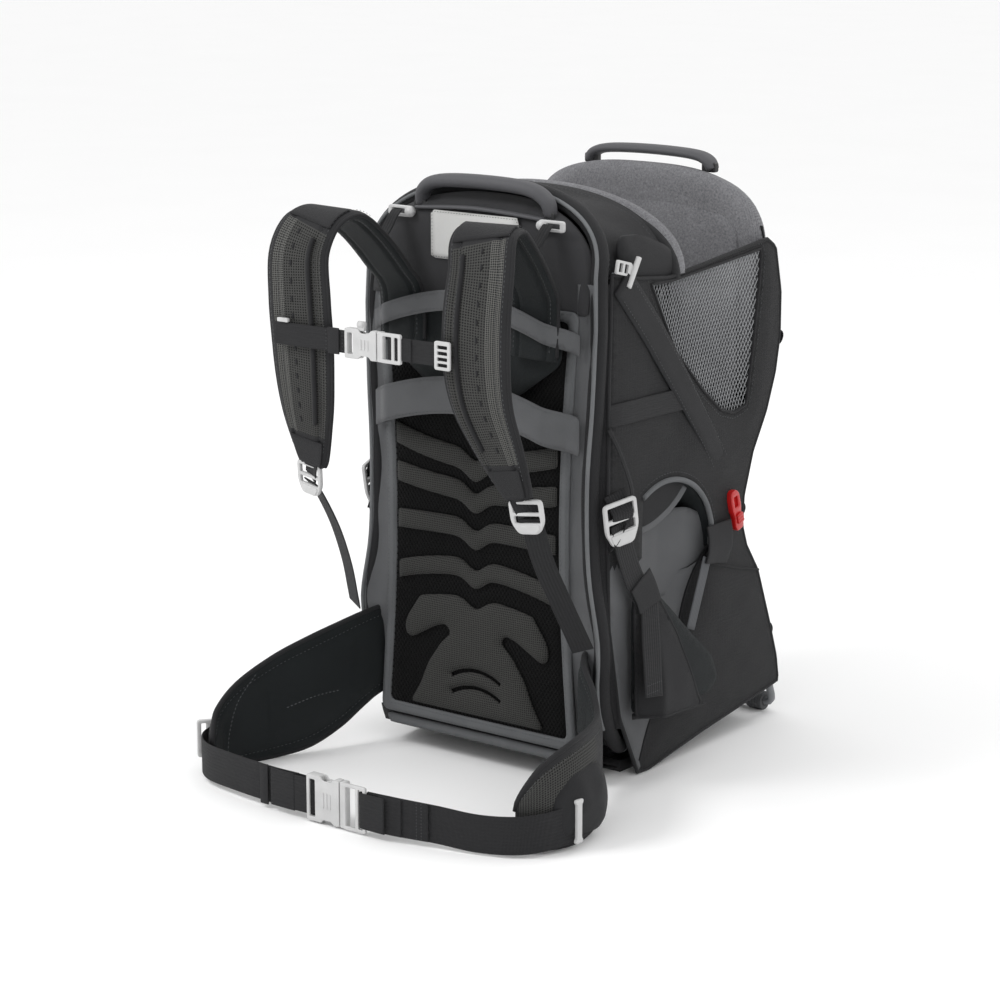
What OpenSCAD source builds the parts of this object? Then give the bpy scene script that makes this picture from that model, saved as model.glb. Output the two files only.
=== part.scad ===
// Framed child-carrier backpack: a child's cockpit on a tube frame, with a suspended back panel,
// shoulder harness, hip belt, foot stirrups and a folding kickstand.
// +Z is up, the wearer stands on the -Y side and +X is the wearer's left.
// The origin is the middle of the front skid's underside, on the ground.

/* [Body] */
// Width over the side panels
body_w = 350; // [340:1:360]
// Thickness of the side panels
skin = 4; // [3:0.5:5]
// Height of the front cockpit rim at its middle
rim_h = 688; // [680:1:696]
// Height of the rear cockpit arch at its middle
arch_h = 690; // [684:1:694]

/* [Frame tubes] */
// Radius of the perimeter frame tube
tube_r = 7; // [5:0.5:8]
// Radius of the rear hoop, posts and side struts
rod_r = 5; // [4:0.5:6]
// Distance of the frame plane in front of the skid
frame_y = 88; // [86:1:90]

/* [Kickstand] */
// Radius of the kickstand tube
leg_r = 5; // [4:0.5:6]
// Radius of the hinge pins
pin_r = 4; // [3:0.5:5]
// Running clearance of each hinge bore over its pin
pin_gap = 0.06; // [0.02:0.01:0.1]

/* [Back panel] */
// Half width of the suspended panel's opening
panel_half = 134; // [130:1:136]
// Width of the panel's edge trim
trim_w = 13; // [10:1:14]

/* [Harness] */
// Thickness of the shoulder pads
pad_t = 13; // [10:1:14]
// Width of the hip webbing
hip_web = 44; // [38:1:48]
// Width of the sternum webbing
chest_web = 26; // [20:1:28]

/* [Hidden] */

half_w = body_w / 2;
side_in = half_w - skin;      // inner face of a side panel
rod_x = half_w - 13;          // the side rods run this far out
hinge_y = 188;                // kickstand hinge axis, along X
hinge_z = 290;
foot_y = 302;                 // kickstand crossbar
foot_z = 12;
panel_y = -100;               // front face of the suspended mesh is just ahead of this
buckle_y = -368;              // middle plane of the hip buckle
hip_z = 29;                   // middle height of the hip buckle and of the webbing there
hip_buckle_w = 54;            // height of the hip buckle
chest_y = -270;               // middle plane of the sternum strap
chest_z = 530;
web_t = 2;                    // webbing thickness

fabric = "#2f2f31";
lining = "#1c2224";
trim_grey = "#5a5c5e";
knit_grey = "#737376";
buckle_grey = "#d8d8d8";
metal_grey = "#6a6c6e";
latch_red = "#c81e1e";

// ---- helpers ----

// Points of a smooth curve through a few chosen points, with s steps for each gap
function curve(p, s = 4) = [
    for (i = [0 : len(p) - 2], k = [0 : s - 1])
        let (t = k / s, a = p[max(i - 1, 0)], b = p[i], c = p[i + 1], d = p[min(i + 2, len(p) - 1)])
        (2 * b + (c - a) * t + (2 * a - 5 * b + 4 * c - d) * t * t + (3 * b - a - 3 * c + d) * t * t * t) / 2,
    p[len(p) - 1]
];

function unit(v) = v / norm(v);
function heading(p, i) = unit(p[min(i + 1, len(p) - 1)] - p[max(i - 1, 0)]);
function across(side, t) = unit(side - (side * t) * t);

// One closed solid through a list of rings with the same number of points
module loft(rings) {
    n = len(rings[0]);
    m = len(rings);
    polyhedron(
        points = [for (r = rings) each r],
        faces = [
            [for (i = [0 : n - 1]) i],
            [for (i = [n - 1 : -1 : 0]) (m - 1) * n + i],
            for (j = [0 : m - 2], i = [0 : n - 1])
                [j * n + i, (j + 1) * n + i, (j + 1) * n + (i + 1) % n, j * n + (i + 1) % n]
        ],
        convexity = 6
    );
}

// Round tube along a path; side is a direction that is never along the path
module tube(path, r, side = [0, 1, 0], sides = 10) {
    loft([
        for (i = [0 : len(path) - 1])
            let (t = heading(path, i), u = across(side, t), v = cross(t, u))
            [for (a = [0 : 360 / sides : 359]) path[i] + r * (cos(a) * u + sin(a) * v)]
    ]);
}

// Flat band along a path, w wide along side and thick across it; w may be a list
module band(path, w, thick, side = [1, 0, 0]) {
    loft([
        for (i = [0 : len(path) - 1])
            let (
                t = heading(path, i), u = across(side, t), v = cross(t, u),
                a = (is_list(w) ? w[i] : w) / 2 * u, b = thick / 2 * v
            )
            [path[i] - a - b, path[i] + a - b, path[i] + a + b, path[i] - a + b]
    ]);
}

// Plate with an outline in Y and Z, from x = low to x = high
module side_plate(low, high) {
    translate([low, 0, 0]) rotate([90, 0, 90]) linear_extrude(high - low) children();
}

// Plate with an outline in X and Z, from y = low to y = high
module face_plate(low, high) {
    translate([0, high, 0]) rotate([90, 0, 0]) linear_extrude(high - low) children();
}

module both_sides() {
    children();
    mirror([1, 0, 0]) children();
}

// Box from its low corner to its high corner
module block(low, high) {
    translate(low) cube(high - low);
}

// Half of a squared-off arch: half width w, from z = base up to z = top
function arch_point(w, base, top, n, a) =
    [w * sign(cos(a)) * pow(abs(cos(a)), 2 / n), base + (top - base) * pow(abs(sin(a)), 2 / n)];
function arch(w, base, top, n) = [for (a = [0 : 9 : 180]) arch_point(w, base, top, n, a)];

// ---- frame ----

upright_path = curve([
    [151, 0, 24], [155, 52 - frame_y, 44], [161, 24 - frame_y, 84], [168, 8 - frame_y, 124],
    [174, -frame_y, 180], [160, -frame_y, 262],
    [157, -frame_y, 360], [162, 2 - frame_y, 450], [165, 4 - frame_y, 540], [163, 6 - frame_y, 600]
], 3);

module upright() {
    color(metal_grey) tube(upright_path, tube_r);
}

module frame_upright_left() {
    upright();
}

module frame_upright_right() {
    mirror([1, 0, 0]) upright();
}

// The top bar bows back by 30 mm in its middle
module frame_top_bar() {
    color(metal_grey) tube([
        for (a = [0 : 7.5 : 180])
            let (p = arch_point(163, 601, 688, 2.3, a)) [p[0], 6 - frame_y + 30 * sin(a), p[1]]
    ], tube_r);
}

module frame_base_bar() {
    color(metal_grey) translate([-143, 0, 24]) rotate([0, 90, 0]) cylinder(h = 286, r = tube_r, $fn = 40);
}

// Moulded skid that the frame stands on
module base_skid() {
    color("#232325") difference() {
        union() {
            block([-150, -15, 0], [150, 15, 14]);
            for (x = [-120, 0, 120]) block([x - 12, -13, 13], [x + 12, 13, 26]);
        }
        translate([-160, 0, 24]) rotate([0, 90, 0]) cylinder(h = 320, r = tube_r + 0.2, $fn = 40);
    }
}

tray_outline = [[22, 12], [100, 16], [104, 22], [104, 60], [100, 60], [100, 26], [22, 22]];

// Stiffened floor of the storage space
module base_tray() {
    color(fabric) side_plate(-165, 165) polygon(tray_outline);
}

module hinge_brackets() {
    ear_r = 12;
    color(metal_grey) both_sides() difference() {
        union() {
            for (x = [rod_x - 11.5, rod_x + 4.5]) {
                translate([x, hinge_y, hinge_z]) rotate([0, 90, 0]) cylinder(h = 4, r = ear_r, $fn = 48);
                block([x, hinge_y - ear_r, hinge_z], [x + 4, hinge_y + ear_r, hinge_z + 17]);
            }
            block([rod_x - 11.5, hinge_y - ear_r, hinge_z + 16], [rod_x + 8.5, hinge_y + ear_r, hinge_z + 38]);
        }
        translate([rod_x - 20, hinge_y, hinge_z]) rotate([0, 90, 0]) cylinder(h = 40, r = pin_r, $fn = 48);
    }
}

module hinge_pins() {
    color("#b8babc") both_sides() translate([rod_x - 13, hinge_y, hinge_z]) rotate([0, 90, 0])
        cylinder(h = 21.7, r = pin_r, $fn = 48);
}

// Diagonal rods from the front corners down to the hinges
module side_struts() {
    color(metal_grey) both_sides()
        tube([[rod_x, -60, 600], [rod_x, 60, 455], [rod_x, 170, 325]], rod_r, [1, 0, 0]);
}

post_path = curve([
    [rod_x, 190, 331.5], [rod_x, 206, 356], [rod_x, 234, 402], [rod_x, 253, 446],
    [rod_x, 262, 490], [rod_x, 262, 541], [rod_x, 252, 588]
], 2);

module rear_posts() {
    color(metal_grey) both_sides() tube(post_path, rod_r, [1, 0, 0]);
}

module cockpit_hoop() {
    color(metal_grey) tube([
        for (a = [0 : 7.5 : 180])
            let (p = arch_point(rod_x, 589, arch_h - rod_r - 3, 3, a)) [p[0], 251 - 10 * sin(a), p[1]]
    ], rod_r);
}

// ---- body ----

side_outline = concat(
    [[-72, 602], [-76, 480], [-76, 300], [-72, 190], [-50, 80], [-12, 4], [10, 3]],
    [[120, 22], [226, 37], [290, 47], [284, 80], [266, 130], [238, 200], [212, 236], [202, 262]],
    [[204, 300], [222, 352], [250, 398], [268, 443], [277, 487], [277, 541], [264, 597], [246, 608]],
    [[41, 586], [-20, 592]]
);
window_outline = [[0, 577], [52, 500], [111, 444], [150, 414], [178, 406], [205, 412], [219, 487], [232, 575], [226, 594]];
leg_arc_y = 38;               // the leg hole's upper edge is an arc about this point
leg_arc_z = 250;
leg_arc_r = 98;

module leg_hole() {
    intersection() {
        translate([leg_arc_y, leg_arc_z]) circle(r = leg_arc_r, $fn = 72);
        translate([-14, leg_arc_z]) square([160, 110]);
    }
    polygon([[-14, 251], [135, 251], [118, 232], [70, 172], [52, 172], [4, 226], [-14, 240]]);
}

// A side panel with its mesh window and its leg hole; it lies on the +X side
module side_panel() {
    color(fabric) side_plate(side_in, half_w) difference() {
        polygon(side_outline);
        polygon(window_outline);
        leg_hole();
    }
}

module side_panel_left() {
    side_panel();
}

module side_panel_right() {
    mirror([1, 0, 0]) side_panel();
}

module side_mesh() {
    color("#8a8b8d") side_plate(side_in + 1.4, half_w - 1.4) offset(delta = -0.5) polygon(window_outline);
}

module side_mesh_left() {
    side_mesh();
}

module side_mesh_right() {
    mirror([1, 0, 0]) side_mesh();
}

// Padded front wall of the cockpit, with the rim that the child leans on
module front_wall() {
    color(knit_grey) face_plate(28, 50) polygon(concat(
        arch(side_in - 1, 575, rim_h, 2.2), [[-152, 525], [-152, 400], [152, 400], [152, 525]]
    ));
}

// Padded rear wall behind the child
module back_cushion() {
    color(knit_grey) face_plate(214, 228) polygon(concat(
        arch(150, 590, arch_h - 22, 3), [[-150, 405], [150, 405]]
    ));
}

rear_profile = [
    [206, 330], [223, 356], [250, 400], [268, 445], [277.5, 490], [277.5, 543], [266, 590], [258, 618]
];

// Outer cover down the back of the cockpit
module rear_panel() {
    color(fabric) side_plate(-side_in + 1, side_in - 1)
        polygon(concat(rear_profile, [for (i = [len(rear_profile) - 1 : -1 : 0]) rear_profile[i] - [3.5, 0]]));
}

// Fabric wall of the bag, behind the frame
module bag_front() {
    color(fabric) face_plate(-66, -62) polygon([[-150, 60], [150, 60], [150, 596], [-150, 596]]);
}

// Fabric roof of the front pocket, between the frame's top bar and the cockpit rim
module top_cowl() {
    color(fabric) face_plate(-40, 26) difference() {
        polygon(arch(side_in - 1, 600, rim_h + 6, 2.5));
        polygon(arch(side_in - 5, 594, rim_h + 2, 2.5));
    }
}

// Fabric face above the suspended panel
module upper_back_panel() {
    color(fabric) face_plate(-96, -93) polygon(concat(
        arch(146, 600, 664, 3), [[-146, 562], [146, 562]]
    ));
}

// Outline of the suspended panel's opening, drawn in and out again like a waist
function panel_edge(grow, low, high) = [
    for (s = [1, -1])
        each [
            for (k = (s > 0 ? [0 : 6] : [6 : -1 : 0]))
                [s * (panel_half + grow - 13 * sin(180 * k / 6)), low + (high - low) * k / 6]
        ]
];

module panel_trim() {
    color(trim_grey) face_plate(panel_y, panel_y + 7) difference() {
        polygon(panel_edge(trim_w, 44, 560));
        polygon(panel_edge(0, 57, 548));
    }
}

module back_mesh() {
    color("#161616") face_plate(panel_y + 2, panel_y + 4) polygon(panel_edge(-0.4, 57.4, 547.6));
}

// The ribs' lower edges leave the trim at these heights and rise or fall by these lifts on the way to the middle
rib_bases = [208, 275, 336, 384];
rib_lifts = [23, 3, -14, -24];

// Height of a foam rib's lower edge, with a dip at the spine
function rib_z(x, base, lift) = base + lift * (1 - pow(x / panel_half, 2)) - 14 * exp(-pow(x / 16, 2));
function rib(base, lift, thick, reach) = concat(
    [for (x = [-reach : reach / 12 : reach]) [x, rib_z(x, base, lift)]],
    [for (x = [reach : -reach / 12 : -reach]) [x, rib_z(x, base, lift) + thick]]
);

module rib_pads() {
    color("#3c3c3a") face_plate(panel_y - 3, panel_y + 1.8)
        for (i = [0 : 3]) polygon(rib(rib_bases[i], rib_lifts[i], 22 + i, 116 + i));
}

module lumbar_pad() {
    color("#3c3c3a") face_plate(panel_y - 4, panel_y + 1.8) difference() {
        polygon(concat(
            [[-100, 62], [100, 62], [84, 88], [72, 116], [52, 144], [38, 156]],
            [[40, 163], [46, 167], [60, 163], [96, 143], [105, 145], [108, 155], [104, 168]],
            [for (x = [84 : -12 : -84]) [x, rib_z(x, 182, 24)]],
            [[-104, 168], [-108, 155], [-105, 145], [-96, 143], [-60, 163], [-46, 167], [-40, 163]],
            [[-38, 156], [-52, 144], [-72, 116], [-84, 88]]
        ));
        for (z = [98, 119]) intersection() {
            translate([0, z - 72]) difference() {
                circle(r = 72, $fn = 72);
                circle(r = 67, $fn = 72);
            }
            translate([-38, z - 20]) square([76, 30]);
        }
    }
}

// Two webbing bands across the panel; each rises towards its middle
module ladder_bands() {
    color(trim_grey) for (b = [[511, 24, 40], [396, 44, 34]]) {
        face_plate(panel_y - 26, panel_y - 23) polygon([
            [-150, b[0]], [-70, b[0] + b[2] * 0.75], [0, b[0] + b[2]], [70, b[0] + b[2] * 0.75], [150, b[0]],
            [150, b[0] + b[1]], [70, b[0] + b[1] + b[2] * 0.75], [0, b[0] + b[1] + b[2]],
            [-70, b[0] + b[1] + b[2] * 0.75], [-150, b[0] + b[1]]
        ]);
        both_sides() block([147.5, panel_y - 23.5, b[0] + 2], [150, panel_y + 6, b[0] + b[1]]);
    }
}

// ---- handles and hooks ----

module front_handle() {
    color("#4c4c4e") tube(curve([
        [-94, -80, 662], [-89, -82, 680], [-64, -84, 692], [0, -84, 695], [64, -84, 692], [89, -82, 680], [94, -80, 662]
    ], 4), 7);
}

module rear_handle() {
    color("#4c4c4e") tube(curve([
        [-90, 247, 689], [-84, 249, 699], [-62, 250, 704], [0, 250, 705], [62, 250, 704], [84, 249, 699], [90, 247, 689]
    ], 4), 6);
}

// Hooks that take the load-lifter webbings
module lifter_hooks() {
    color(buckle_grey) both_sides() difference() {
        union() {
            block([92, -102, 649], [128, -97, 661]);
            translate([96, -97, 655]) rotate([90, 0, 0]) cylinder(h = 6, r = 7, $fn = 40);
        }
        block([103, -104, 652], [122, -95, 658]);
    }
}

// T-bar hooks on the front corners that a sunshade hangs on
module side_hooks() {
    color(buckle_grey) both_sides() {
        block([half_w + 0.5, -66, 602], [half_w + 3.5, -42, 614]);
        translate([half_w + 5.5, -42, 596]) rotate([22, 0, 0]) cylinder(h = 26, r = 2.6, $fn = 32);
    }
}

// ---- hip belt ----

// Upright band with its own height at each point: path points are [x, y, low, high]
module wing(points, thick) {
    p = curve(points, 3);
    loft([
        for (i = [0 : len(p) - 1])
            let (
                t = heading([for (q = p) [q[0], q[1], 0]], i),
                v = thick / 2 * [-t[1], t[0], 0], a = [p[i][0], p[i][1], p[i][2]], b = [p[i][0], p[i][1], p[i][3]]
            )
            [a - v, a + v, b + v, b - v]
    ]);
}

wing_right_points = [
    [-154, -88, 64, 170], [-158, -102, 58, 168], [-164, -120, 46, 164], [-175, -146, 26, 156],
    [-190, -184, 8, 144], [-208, -226, 2, 127],
    [-224, -272, 2, 102], [-228, -304, 4, 76], [-212, -330, 10, 58]
];
wing_left_points = [
    [154, -88, 64, 166], [160, -102, 58, 164], [173, -118, 46, 156], [198, -136, 24, 139],
    [226, -166, 6, 123], [250, -212, 2, 124],
    [258, -258, 2, 119], [246, -296, 4, 99], [226, -316, 10, 68]
];

module hip_wing_left() {
    color(lining) wing(wing_left_points, 13);
}

module hip_wing_right() {
    color(lining) wing(wing_right_points, 13);
}

// Each webbing runs outside its wing's tip and on to the buckle
module hip_webbing_left() {
    color(fabric) band(curve([
        [268, -262, 30], [258, -302, 28], [236, -328, 26], [196, -345, 25], [150, -356, 25],
        [104, -364, hip_z], [68, buckle_y, hip_z]
    ], 3), hip_web, web_t, [0, 0, 1]);
}

module hip_webbing_right() {
    color(fabric) band(curve([
        [-238, -290, 34], [-232, -324, 30], [-206, -346, 26], [-160, -358, hip_z], [-90, -366, hip_z], [-26, buckle_y, hip_z]
    ], 3), hip_web, web_t, [0, 0, 1]);
}

// Slider on the right wing's webbing and T-bar on the left one's
module hip_web_guides() {
    color(buckle_grey) {
        block([-250, -304, 12], [-242, -276, 58]);
        block([272, -270, 12], [276, -260, 56]);
        for (z = [10, 58]) translate([274.5, -265, z]) cylinder(h = 4, r = 4.5, center = true, $fn = 32);
    }
}

// Side-release socket: a hollow housing, open towards +X, with a bar for the webbing at its other end
module buckle_socket(len, w, t) {
    difference() {
        block([-len, -t / 2, -w / 2], [0, t / 2, w / 2]);
        block([-len * 0.62, -t / 2 + 2, -w / 2 + 3], [1, t / 2 - 2, w / 2 - 3]);
        block([-len * 0.5, -t / 2 + 2, -w / 2 - 1], [-len * 0.2, t / 2 - 2, w / 2 + 1]);
        block([-len + 4, -t, -w / 2 + 5], [-len * 0.72, t, w / 2 - 5]);
    }
}

// The part that clicks into the socket: two prongs, a shoulder, and a frame round its webbing
module buckle_plug(len, w, t) {
    reach = len * 0.5;
    for (s = [-1, 1]) {
        block([-reach, -t / 2 + 2.6, s * (w / 2 - 6) - 2], [1, t / 2 - 2.6, s * (w / 2 - 6) + 2]);
        block([7, -t / 2 + 1, s * (w / 2 - 1.5) - 1.5], [len * 0.8, t / 2 - 1, s * (w / 2 - 1.5) + 1.5]);
    }
    block([0.6, -t / 2 + 1, -w / 2], [8, t / 2 - 1, w / 2]);
    block([len * 0.8 - 4, -t / 2 - 1.5, -w / 2], [len * 0.8, -t / 2 + 1.5, w / 2]);
}

module hip_buckle_female() {
    color(buckle_grey) translate([22, buckle_y, hip_z]) buckle_socket(48, hip_buckle_w, 12);
}

module hip_buckle_male() {
    color(buckle_grey) translate([22, buckle_y, hip_z]) buckle_plug(48, hip_buckle_w, 12);
}

// ---- shoulder harness ----

module harness_yoke() {
    color(lining) face_plate(panel_y - 5, panel_y - 1.5) polygon([
        [-60, 452], [60, 452], [128, 500], [124, 556], [40, 552], [-40, 552], [-124, 556], [-128, 500]
    ]);
}

strap_points = [
    [96, -114, 505], [98, -114, 566], [103, -134, 597], [108, -168, 634], [114, -206, 662],
    [122, -238, 656], [131, -255, 622], [128, -259, 570], [126, -257, 520], [129, -251, 475],
    [139, -236, 428], [148, -219, 384], [152, -212, 368]
];
strap_widths = [64, 64, 68, 72, 78, 82, 86, 90, 90, 84, 70, 48, 34];

module shoulder_strap() {
    steps = 2;
    color(lining) band(curve(strap_points, steps), curve(strap_widths, steps), pad_t);
}

module shoulder_strap_left() {
    shoulder_strap();
}

module shoulder_strap_right() {
    mirror([1, 0, 0]) shoulder_strap();
}

// Ladder locks at the strap ends, with a window that the webbing passes through
module strap_locks() {
    color(buckle_grey) both_sides() translate([161, -206, 346]) rotate([-28, 18, 0]) difference() {
        block([-20, -2.5, -17], [20, 2.5, 15]);
        block([-14, -4, -11], [14, 4, 9]);
    }
}

module lower_webbings() {
    color(fabric) both_sides() band(curve([
        [159, -196, 330], [155, -172, 286], [160, -146, 236], [168, -126, 192], [171, -119, 176]
    ], 3), 25, web_t);
}

module lifter_webbings() {
    color(fabric) both_sides() band(curve([
        [110, -108, 656], [110, -115, 650], [109, -127, 637], [107, -144, 624]
    ], 3), 15, web_t);
}

// ---- sternum strap ----

module sternum_webbings() {
    color(fabric) {
        block([-156, chest_y - 1, chest_z - chest_web / 2], [-50, chest_y + 1, chest_z + chest_web / 2]);
        block([34, chest_y - 1, chest_z - chest_web / 2], [98, chest_y + 1, chest_z + chest_web / 2]);
    }
}

module sternum_sliders() {
    color(buckle_grey) {
        block([82, chest_y - 4, chest_z - 16], [102, chest_y - 1.3, chest_z + 16]);
        block([-150, chest_y - 3.5, chest_z + chest_web / 2 + 0.3], [-134, chest_y + 1, chest_z + chest_web / 2 + 5]);
    }
}

module sternum_buckle_female() {
    color(buckle_grey) translate([-2, chest_y, chest_z]) {
        buckle_socket(46, 34, 9);
        block([-30, -3, 17], [-22, 3, 27]);
    }
}

module sternum_buckle_male() {
    color(buckle_grey) translate([-2, chest_y, chest_z]) buckle_plug(44, 34, 9);
}

// ---- kickstand ----

leg_x = rod_x - 1.75;         // middle of a hinge eye
leg_dir = unit([0, foot_y - hinge_y, foot_z - hinge_z]);

// Legs down from the hinge eyes to one crossbar
module kickstand_tube() {
    color(metal_grey) difference() {
        union() {
            both_sides() {
                translate([leg_x - 4.75, hinge_y, hinge_z]) rotate([0, 90, 0]) cylinder(h = 9.5, r = 11, $fn = 48);
                tube(curve([
                    [leg_x, hinge_y, hinge_z] + 7 * leg_dir, [leg_x, hinge_y, hinge_z] + 150 * leg_dir,
                    [leg_x, hinge_y, hinge_z] + 280 * leg_dir, [leg_x - 3, foot_y - 2, foot_z + 5],
                    [leg_x - 12, foot_y, foot_z]
                ], 3), leg_r, [1, 0.3, 0]);
            }
            translate([-leg_x + 11.5, foot_y, foot_z]) rotate([0, 90, 0])
                cylinder(h = 2 * leg_x - 23, r = leg_r, $fn = 32);
        }
        translate([-half_w, hinge_y, hinge_z]) rotate([0, 90, 0])
            cylinder(h = body_w, r = pin_r + pin_gap, $fn = 48);
    }
}

// Rubber sleeves on the crossbar that stand on the ground
module kickstand_feet() {
    color("#47484a") both_sides() difference() {
        union() {
            translate([126, foot_y, foot_z]) rotate([0, 90, 0]) cylinder(h = 22, r = foot_z, $fn = 48);
            translate([112, foot_y, foot_z]) rotate([0, 90, 0]) cylinder(h = 14, r = foot_z - 3, $fn = 48);
        }
        translate([100, foot_y, foot_z]) rotate([0, 90, 0]) cylinder(h = 60, r = leg_r, $fn = 32);
    }
}

// Fabric between the legs; it swings with them
module rear_lower_panel() {
    color(fabric) translate([0, hinge_y, hinge_z]) rotate([atan2(hinge_z - foot_z, hinge_y - foot_y) - 90, 0, 0])
        block([-leg_x + 7, -1.5, -274], [leg_x - 7, 1.5, -60]);
}

// ---- latches, stirrups ----

// Red clip that locks the hinge; it slides up to free the kickstand
module latch() {
    color(latch_red) translate([half_w + 0.6, 176, 290]) rotate([18, 0, 0]) difference() {
        union() {
            block([0, -9, -28], [9, 9, 24]);
            block([9, -6, -18], [12, 6, -6]);
        }
        block([4, -4, 2], [13, 4, 16]);
    }
}

module latch_left() {
    latch();
}

module latch_right() {
    mirror([1, 0, 0]) latch();
}

// Ladder locks that the stirrup webbings hang from
module stirrup_locks() {
    color(buckle_grey) both_sides() difference() {
        block([half_w + 1, -86, 296], [half_w + 5, -48, 338]);
        block([half_w, -79, 303], [half_w + 6, -55, 328]);
    }
}

// Webbing with a foot cup: an outer wall, an inner wall and a sole
module stirrup() {
    color(fabric) {
        band([[half_w + 9, -66, 318], [half_w + 10, -56, 260], [half_w + 10, -44, 200], [half_w + 10, -38, 172]],
            26, web_t, [0, 1, 0.2]);
        side_plate(half_w + 11, half_w + 13) polygon([[-54, 92], [98, 84], [126, 100], [112, 130], [-4, 214], [-52, 214]]);
        side_plate(half_w + 41, half_w + 43) polygon([[-54, 92], [98, 84], [126, 100], [-30, 150], [-52, 150]]);
        side_plate(half_w + 11, half_w + 43) polygon([[-54, 92], [98, 84], [98, 88], [-54, 96]]);
    }
}

module stirrup_left() {
    stirrup();
}

module stirrup_right() {
    mirror([1, 0, 0]) stirrup();
}

// ---- child's seat and harness ----

module seat_pad() {
    color(trim_grey) {
        block([-112, 56, 262], [112, 158, 288]);
        both_sides() side_plate(113, 117) polygon([[40, 190], [120, 190], [156, 262], [158, 288], [40, 288]]);
    }
}

module crotch_strap() {
    color(fabric) band(curve([[0, 66, 288.3], [0, 74, 330], [0, 78, 394]], 3), 28, web_t + 1);
}

module child_buckle() {
    color(metal_grey) difference() {
        block([-24, 70, 394.3], [24, 86, 440]);
        translate([0, 69, 417]) rotate([-90, 0, 0]) cylinder(h = 8, r = 12.4, $fn = 48);
    }
}

module child_buckle_button() {
    color(latch_red) translate([0, 69, 417]) rotate([-90, 0, 0]) cylinder(h = 4, r = 12, $fn = 48);
}

module child_straps() {
    color(fabric) both_sides() {
        band(curve([[38, 207, 552], [43, 206, 510], [46, 206, 464], [44, 205, 420]], 3), 40, 10);
        block([36, 203, 388], [52, 208, 417]);
    }
}

frame_upright_left();
frame_upright_right();
frame_top_bar();
frame_base_bar();
base_skid();
base_tray();
hinge_brackets();
hinge_pins();
side_struts();
rear_posts();
cockpit_hoop();
side_panel_left();
side_panel_right();
side_mesh_left();
side_mesh_right();
front_wall();
back_cushion();
rear_panel();
bag_front();
top_cowl();
upper_back_panel();
panel_trim();
back_mesh();
rib_pads();
lumbar_pad();
ladder_bands();
front_handle();
rear_handle();
lifter_hooks();
side_hooks();
hip_wing_left();
hip_wing_right();
hip_webbing_left();
hip_webbing_right();
hip_web_guides();
hip_buckle_female();
hip_buckle_male();
stirrup_locks();
child_straps();
harness_yoke();
shoulder_strap_left();
shoulder_strap_right();
strap_locks();
lower_webbings();
lifter_webbings();
sternum_webbings();
sternum_sliders();
sternum_buckle_female();
sternum_buckle_male();
kickstand_tube();
kickstand_feet();
rear_lower_panel();
latch_left();
latch_right();
stirrup_left();
stirrup_right();
seat_pad();
crotch_strap();
child_buckle();
child_buckle_button();
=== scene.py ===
import math

import bmesh
import bpy
import numpy as np
from mathutils import Matrix, Vector
from mathutils.geometry import delaunay_2d_cdt


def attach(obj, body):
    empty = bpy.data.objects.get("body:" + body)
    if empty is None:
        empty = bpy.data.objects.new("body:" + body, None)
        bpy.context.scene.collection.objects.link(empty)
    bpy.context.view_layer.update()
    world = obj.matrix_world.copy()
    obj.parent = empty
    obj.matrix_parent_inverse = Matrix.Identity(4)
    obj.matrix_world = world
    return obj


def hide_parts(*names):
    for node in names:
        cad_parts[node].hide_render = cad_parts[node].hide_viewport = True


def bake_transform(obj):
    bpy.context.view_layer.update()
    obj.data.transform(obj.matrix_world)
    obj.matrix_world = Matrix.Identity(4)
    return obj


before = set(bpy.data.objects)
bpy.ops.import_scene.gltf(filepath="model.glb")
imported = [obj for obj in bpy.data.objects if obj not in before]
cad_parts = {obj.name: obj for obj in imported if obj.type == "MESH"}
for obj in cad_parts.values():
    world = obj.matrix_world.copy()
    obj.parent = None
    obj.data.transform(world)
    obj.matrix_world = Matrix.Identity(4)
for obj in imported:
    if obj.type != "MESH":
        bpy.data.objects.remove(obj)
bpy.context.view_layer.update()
MM = 0.001  # every length below is in millimetres unless it says otherwise
LEFT_RIGHT = ((1, "left"), (-1, "right"))

# The camera comes first: its bearing, height angle, distance and aim are those of the photograph's view
CAM_BEARING, CAM_HEIGHT, CAM_DISTANCE, CAM_LENS = 37.96, 13.02, 3.509, 106.3
CAM_AIM = Vector((-0.0142, -0.0352, 0.3108))


def make_camera():
    """The camera of the photograph, at its bearing, height and distance."""
    bearing, height = math.radians(CAM_BEARING), math.radians(CAM_HEIGHT)
    back = Vector((
        math.sin(bearing) * math.cos(height), -math.cos(bearing) * math.cos(height), math.sin(height)
    ))
    data = bpy.data.cameras.new("camera")
    data.lens, data.sensor_width = CAM_LENS, 36
    camera = bpy.data.objects.new("camera", data)
    camera.location = CAM_AIM + back * CAM_DISTANCE
    camera.rotation_mode = "QUATERNION"
    camera.rotation_quaternion = (-back).to_track_quat("-Z", "Y")
    bpy.context.scene.collection.objects.link(camera)
    bpy.context.scene.camera = camera


make_camera()


# ---- shapes of lines and outlines ----


def smooth(points, steps=6, closed=False):
    """Smooth curve through a few points of any number of coordinates."""
    p = np.array(points, float)
    count = len(p)
    out = []
    for i in range(count if closed else count - 1):
        if closed:
            a, b, c, d = (p[(i + k) % count] for k in (-1, 0, 1, 2))
        else:
            a, b, c, d = p[max(i - 1, 0)], p[i], p[i + 1], p[min(i + 2, count - 1)]
        for k in range(steps):
            t = k / steps
            out.append((2 * b + (c - a) * t + (2 * a - 5 * b + 4 * c - d) * t * t
                        + (3 * b - a - 3 * c + d) * t ** 3) / 2)
    if not closed:
        out.append(p[-1])
    return np.array(out)


def unit(v):
    """Vectors at length one."""
    return v / np.maximum(np.linalg.norm(v, axis=-1, keepdims=True), 1e-9)


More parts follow.
